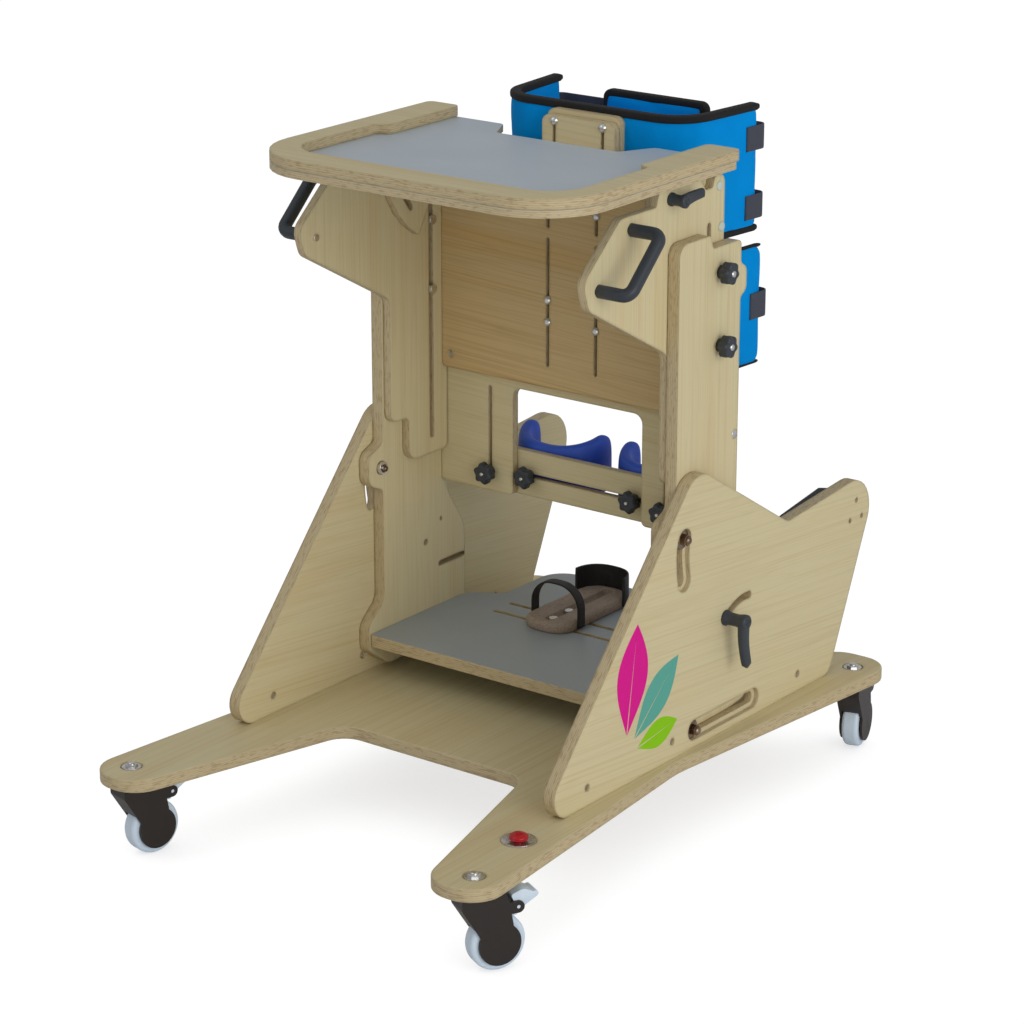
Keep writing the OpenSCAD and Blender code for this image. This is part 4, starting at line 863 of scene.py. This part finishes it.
def binding(places, foot, top, whole, full):
    """A tape that wraps the long edges of a band, or as one closed run its whole edge."""
    step = (places[1][0] - places[0][0]).length
    drop = binding_high * full
    end = (len(places) - 1) * step
    flat = edge_round if whole else tape_end
    level = [flat + (end - 2 * flat) * i / band_steps for i in range(band_steps + 1)]
    runs = [[(s, top - drop) for s in level], [(end - s, foot + drop) for s in level]]
    if whole:
        bend = [math.pi / 2 * a / turn_steps for a in range(1, turn_steps)]
        inner = edge_round - drop
        near = (end - edge_round, top - edge_round)
        right = [(near[0] + inner * math.sin(a), near[1] + inner * math.cos(a)) for a in bend]
        fall = foot - top + 2 * edge_round
        right += [(end - drop, near[1] + fall * k / end_steps) for k in range(end_steps + 1)]
        right += [(s, foot + top - z) for s, z in right[turn_steps - 2::-1]]
        runs = [runs[0] + right + runs[1] + [(end - s, foot + top - z) for s, z in right]]
    shapes = []
    for run in runs:
        line, sides, sizes = [], [], []
        for k, (s, z) in enumerate(run):
            i = max(0, min(len(places) - 2, int(s / step)))
            share = s / step - i
            at = places[i][0].lerp(places[i + 1][0], share)
            line.append(Vector((at.x, at.y, z)))
            sides.append(places[i][1].lerp(places[i + 1][1], max(0, min(1, share))).normalized())
            close = full * (0.7 if not whole and k in (0, len(run) - 1) else 1)
            sizes.append((binding_wide * min(1, close * 1.3), binding_high * close))
        shapes.append(swept(line, sides, sizes, 16, 0.55, closed=whole))
    return join(shapes)


def plump(pad, cap):
    """Swells a pad by cloth simulation, no point moving further than cap."""
    scene = bpy.context.scene
    remesh = pad.modifiers.new("even", "REMESH")
    remesh.mode = "VOXEL"
    remesh.voxel_size = swell_voxel
    graph = bpy.context.evaluated_depsgraph_get()
    even = bpy.data.meshes.new_from_object(pad.evaluated_get(graph))
    pad.modifiers.clear()
    even.materials.clear()
    even.materials.append(pad.data.materials[0])
    pad.data = even
    start = [v.co.copy() for v in even.vertices]
    cloth = pad.modifiers.new("swell", "CLOTH")
    cloth.settings.use_pressure = True
    cloth.settings.uniform_pressure_force = swell_pressure
    cloth.settings.effector_weights.gravity = 0
    cloth.point_cache.frame_start = 1
    cloth.point_cache.frame_end = swell_frames
    for moment in range(1, swell_frames + 1):
        scene.frame_set(moment)
    graph = bpy.context.evaluated_depsgraph_get()
    swollen = [v.co.copy() for v in pad.evaluated_get(graph).data.vertices]
    pad.modifiers.remove(cloth)
    scene.frame_set(1)
    for vertex, before, after in zip(even.vertices, start, swollen):
        move = after - before
        vertex.co = before + move * min(1, cap / max(move.length, 1e-9))
    even.polygons.foreach_set("use_smooth", [True] * len(even.polygons))
    even.update()


def padded_band(name, body, places, thick, foot, top, nodes, cap, whole=False, full=1.0):
    """A covered pad with its binding, in place of its CAD nodes."""
    pad = make_piece(name, *band(places, thick, foot, top), knit, body)
    plump(pad, cap)
    pad.modifiers.new("smooth", "SUBSURF").levels = 1
    pad.modifiers["smooth"].render_levels = 1
    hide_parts(*nodes)
    make_piece(name + "_binding", *binding(places, foot, top, whole, full), binding_tape, body)


def support_line(front, reach):
    """Plan of a chest or hip pad along the middle of its foam."""
    middle = front + pad_thick / 2
    tip = Vector((pad_corner + pad_flare, front + reach, 0))
    corners = [tip, Vector((pad_corner, middle, 0)), Vector((-pad_corner, middle, 0)),
               Vector((-tip.x, tip.y, 0))]
    return corners, spaced(filleted(corners, pad_bend, 12), band_steps)


def belt(name, body, corners, rear, foot, top):
    """A belt sewn to the outer side of a pad's arms that closes its open back."""
    slope = (corners[0] - corners[1]).normalized()
    out = Vector((slope.y, -slope.x, 0)) * (pad_thick / 2 + belt_lift)
    start = corners[0] + out - slope * belt_sewn
    back = start + slope * ((rear - start.y) / slope.y)
    turned_back = [start, back, Vector((-back.x, back.y, 0)), Vector((-start.x, start.y, 0))]
    line = [Vector((p.x, p.y, (foot + top) / 2)) for p in spaced(filleted(turned_back, belt_bend), 120)]
    return make_piece(name, *swept(line, [Vector((0, 0, 1))] * len(line),
                                   [((top - foot) / 2, belt_thick / 2)] * len(line), 20, 0.25), webbing, body)


belt_thick, belt_lift, belt_sewn, belt_bend = 0.0026, 0.0022, 0.030, 0.012
belt_tall, belt_trim, belt_lifts = 0.034, 0.004, (("low", 0.006), ("high", 0.101))
chest_reach, hip_reach, cover_trim, band_cap = 0.157, 0.183, 0.001, 0.0022
chest_low, chest_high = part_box("chest_pad")
chest_corners, chest_line = support_line(chest_low.y, chest_reach)
padded_band("chest_pad_cover", "chest_support", band_places(chest_line), pad_thick - cover_trim,
            chest_low.z, chest_high.z, ["chest_pad"], band_cap)
harness_low, harness_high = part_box("chest_harness")
back_tall, back_half, back_thick, back_deep, back_cap = 0.153, 0.086, 0.016, 0.0095, 0.003
back_middle = harness_high.y - belt_thick - back_deep
back_line = spaced([Vector((back_half, back_middle, 0)), Vector((-back_half, back_middle, 0))], 36)
padded_band("back_pad_cover", "chest_support", band_places(back_line), back_thick, harness_low.z,
            harness_low.z + back_tall, ["chest_harness"], back_cap, True)
for label, lift in belt_lifts:
    foot = harness_low.z + lift
    strap = belt("chest_belt_" + label, "chest_support", chest_corners, harness_high.y - belt_thick / 2,
                 foot, foot + belt_tall)

hip_low, hip_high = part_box("hip_pad")
hip_corners, hip_line = support_line(hip_low.y, hip_reach)
padded_band("hip_pad_cover", "hip_support", band_places(hip_line), pad_thick - cover_trim,
            hip_low.z, hip_high.z, ["hip_pad"], band_cap, full=0.4)
strap_low, strap_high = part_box("hip_strap")
strap = belt("hip_belt", "hip_support", hip_corners, strap_high.y - belt_thick / 2,
             strap_low.z + belt_trim, strap_high.z - belt_trim)
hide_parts("hip_strap")


# Knee support: a plywood bar with a long slot, and two cups moulded in deep
# blue foam that are open to the back. Each cup is held through the slot by
# a star knob.
def cup_finish():
    material, wire = begin_finish("cup_foam")
    spot = wire.node("TexCoord").other("Object")
    pebble = spot.noise(640, 3)
    cloud = spot.noise(16, 3).between(0.3, 0.7)
    colour = (pebble * 0.3 + cloud * 0.3).tint(paint(50, 94, 212), paint(36, 70, 168))
    return end_finish(material, Base_Color=colour, Roughness=pebble * 0.2 + 0.42,
                      Normal=bumped(wire, pebble, 0.00012))


dress(board_finish, ["knee_bar"], board_ease)
cup_foam = cup_finish()
cup_thick, cup_half, cup_bend = 0.020, 0.072, 0.046
cup_dip, cup_top, cup_drop, cup_flare, cup_round = 0.071, 0.091, 0.026, 1.6, 0.75
cup_ends = (0.4, 0.72, 0.88, 0.96, 1)
for side in ("left", "right"):
    low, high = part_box(f"knee_cup_{side}")
    middle = (low.x + high.x) / 2
    front = low.y + cup_thick / 2
    across = cup_half - cup_thick / 2
    corners = [Vector((middle + across, high.y, 0)), Vector((middle + across, front, 0)),
               Vector((middle - across, front, 0)), Vector((middle - across, high.y, 0))]
    places = band_places(spaced(filleted(corners, cup_bend, 12), 56))
    section = superellipse(24, 0.55)
    rings = []
    for i, (at, outward) in enumerate(places):
        out = abs(2 * i / (len(places) - 1) - 1)
        past = max(0, (out - cup_round) / (1 - cup_round))
        rise = low.z + cup_dip + (cup_top - cup_dip) * out ** cup_flare
        rise -= cup_drop * (1 - math.sqrt(1 - past * past))
        end = min(i, len(places) - 1 - i)
        swell = cup_ends[min(end, len(cup_ends) - 1)]
        centre = Vector((at.x, at.y, (low.z + rise) / 2))
        rings.append([centre + outward * a * cup_thick / 2 * swell
                      + Vector((0, 0, b * (rise - low.z) / 2 * (0.9 + 0.1 * swell))) for a, b in section])
    cup = make_piece(f"cup_{side}", *loft(rings), cup_foam, f"knee_cup_{side}")
    cup.modifiers.new("smooth", "SUBSURF").levels = 1
    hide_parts(f"knee_cup_{side}")


# Studio: a white floor that keeps a soft contact shadow, deepened by painted
# shadow from ambient occlusion, an even pale sky, a wide soft lamp low on the
# right, and weak ones high on the left and at the front.
camera_at = Vector((2.592, -3.4451, 1.872))
camera_aim = Vector((0.0705, -0.0973, 0.4594))
camera = bpy.data.objects.new("camera", bpy.data.cameras.new("camera"))
camera.data.lens = 118.02
camera.data.sensor_width = 36
camera.location = camera_at
camera.rotation_euler = (camera_aim - camera_at).to_track_quat("-Z", "Y").to_euler()
bpy.context.scene.collection.objects.link(camera)
bpy.context.scene.camera = camera
bpy.context.scene.view_settings.view_transform = "Standard"


def lamp(name, place, aim, size, power):
    light = bpy.data.lights.new(name, "AREA")
    light.size = size
    light.energy = power
    made = bpy.data.objects.new(name, light)
    made.location = place
    made.rotation_euler = (Vector(aim) - Vector(place)).to_track_quat("-Z", "Y").to_euler()
    bpy.context.scene.collection.objects.link(made)


lamp("side", (6.6, -2.0, 2.1), (0, 0, 0.5), 5.0, 190)
lamp("high", (-1.6, -2.6, 3.6), (0, 0, 0.4), 2.4, 14)
lamp("front", (3.4, -3.4, 1.0), (-0.25, 0, 0.5), 1.6, 9)

sky_light = 0.42
world = bpy.data.worlds.new("sky")
world.use_nodes = True
sky = Wire(world.node_tree)
seen = sky.node("LightPath").other("Is Camera Ray")
backdrop = world.node_tree.nodes["Background"]
backdrop.inputs["Color"].default_value = (1, 1, 1, 1)
world.node_tree.links.new((seen * (1 - sky_light) + sky_light).socket, backdrop.inputs["Strength"])
bpy.context.scene.world = world

floor_half, shadow_reach, floor_glow = 30, 0.22, 1.08
floor_mesh = bpy.data.meshes.new("floor")
floor_mesh.from_pydata([(-floor_half, -floor_half, 0), (floor_half, -floor_half, 0),
                        (floor_half, floor_half, 0), (-floor_half, floor_half, 0)], [], [(0, 1, 2, 3)])
floor = bpy.data.objects.new("floor", floor_mesh)
bpy.context.scene.collection.objects.link(floor)
floor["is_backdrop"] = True
material, wire = begin_finish("floor_white")
end_finish(material, Base_Color=(0.86, 0.86, 0.87, 1), Roughness=0.9)
seen = wire.node("LightPath").other("Is Camera Ray")
# Ambient occlusion dims the floor's white glow near the object: painted contact shadow.
clear = wire.node("AmbientOcclusion", {"samples": 8}, {"Distance": shadow_reach}).other("AO")
glow = wire.node("Emission", {}, {"Color": (1, 1, 1, 1), "Strength": floor_glow})
shader = Wire(material.node_tree, material.node_tree.nodes["Principled BSDF"].outputs[0])
whiter = seen * (clear.between(0.1, 0.75) * 0.34 + 0.58)
mixed = wire.node("MixShader", {}, {0: whiter, 1: shader, 2: glow})
material.node_tree.links.new(mixed.socket, material.node_tree.nodes["Material Output"].inputs["Surface"])
floor_mesh.materials.append(material)

low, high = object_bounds()
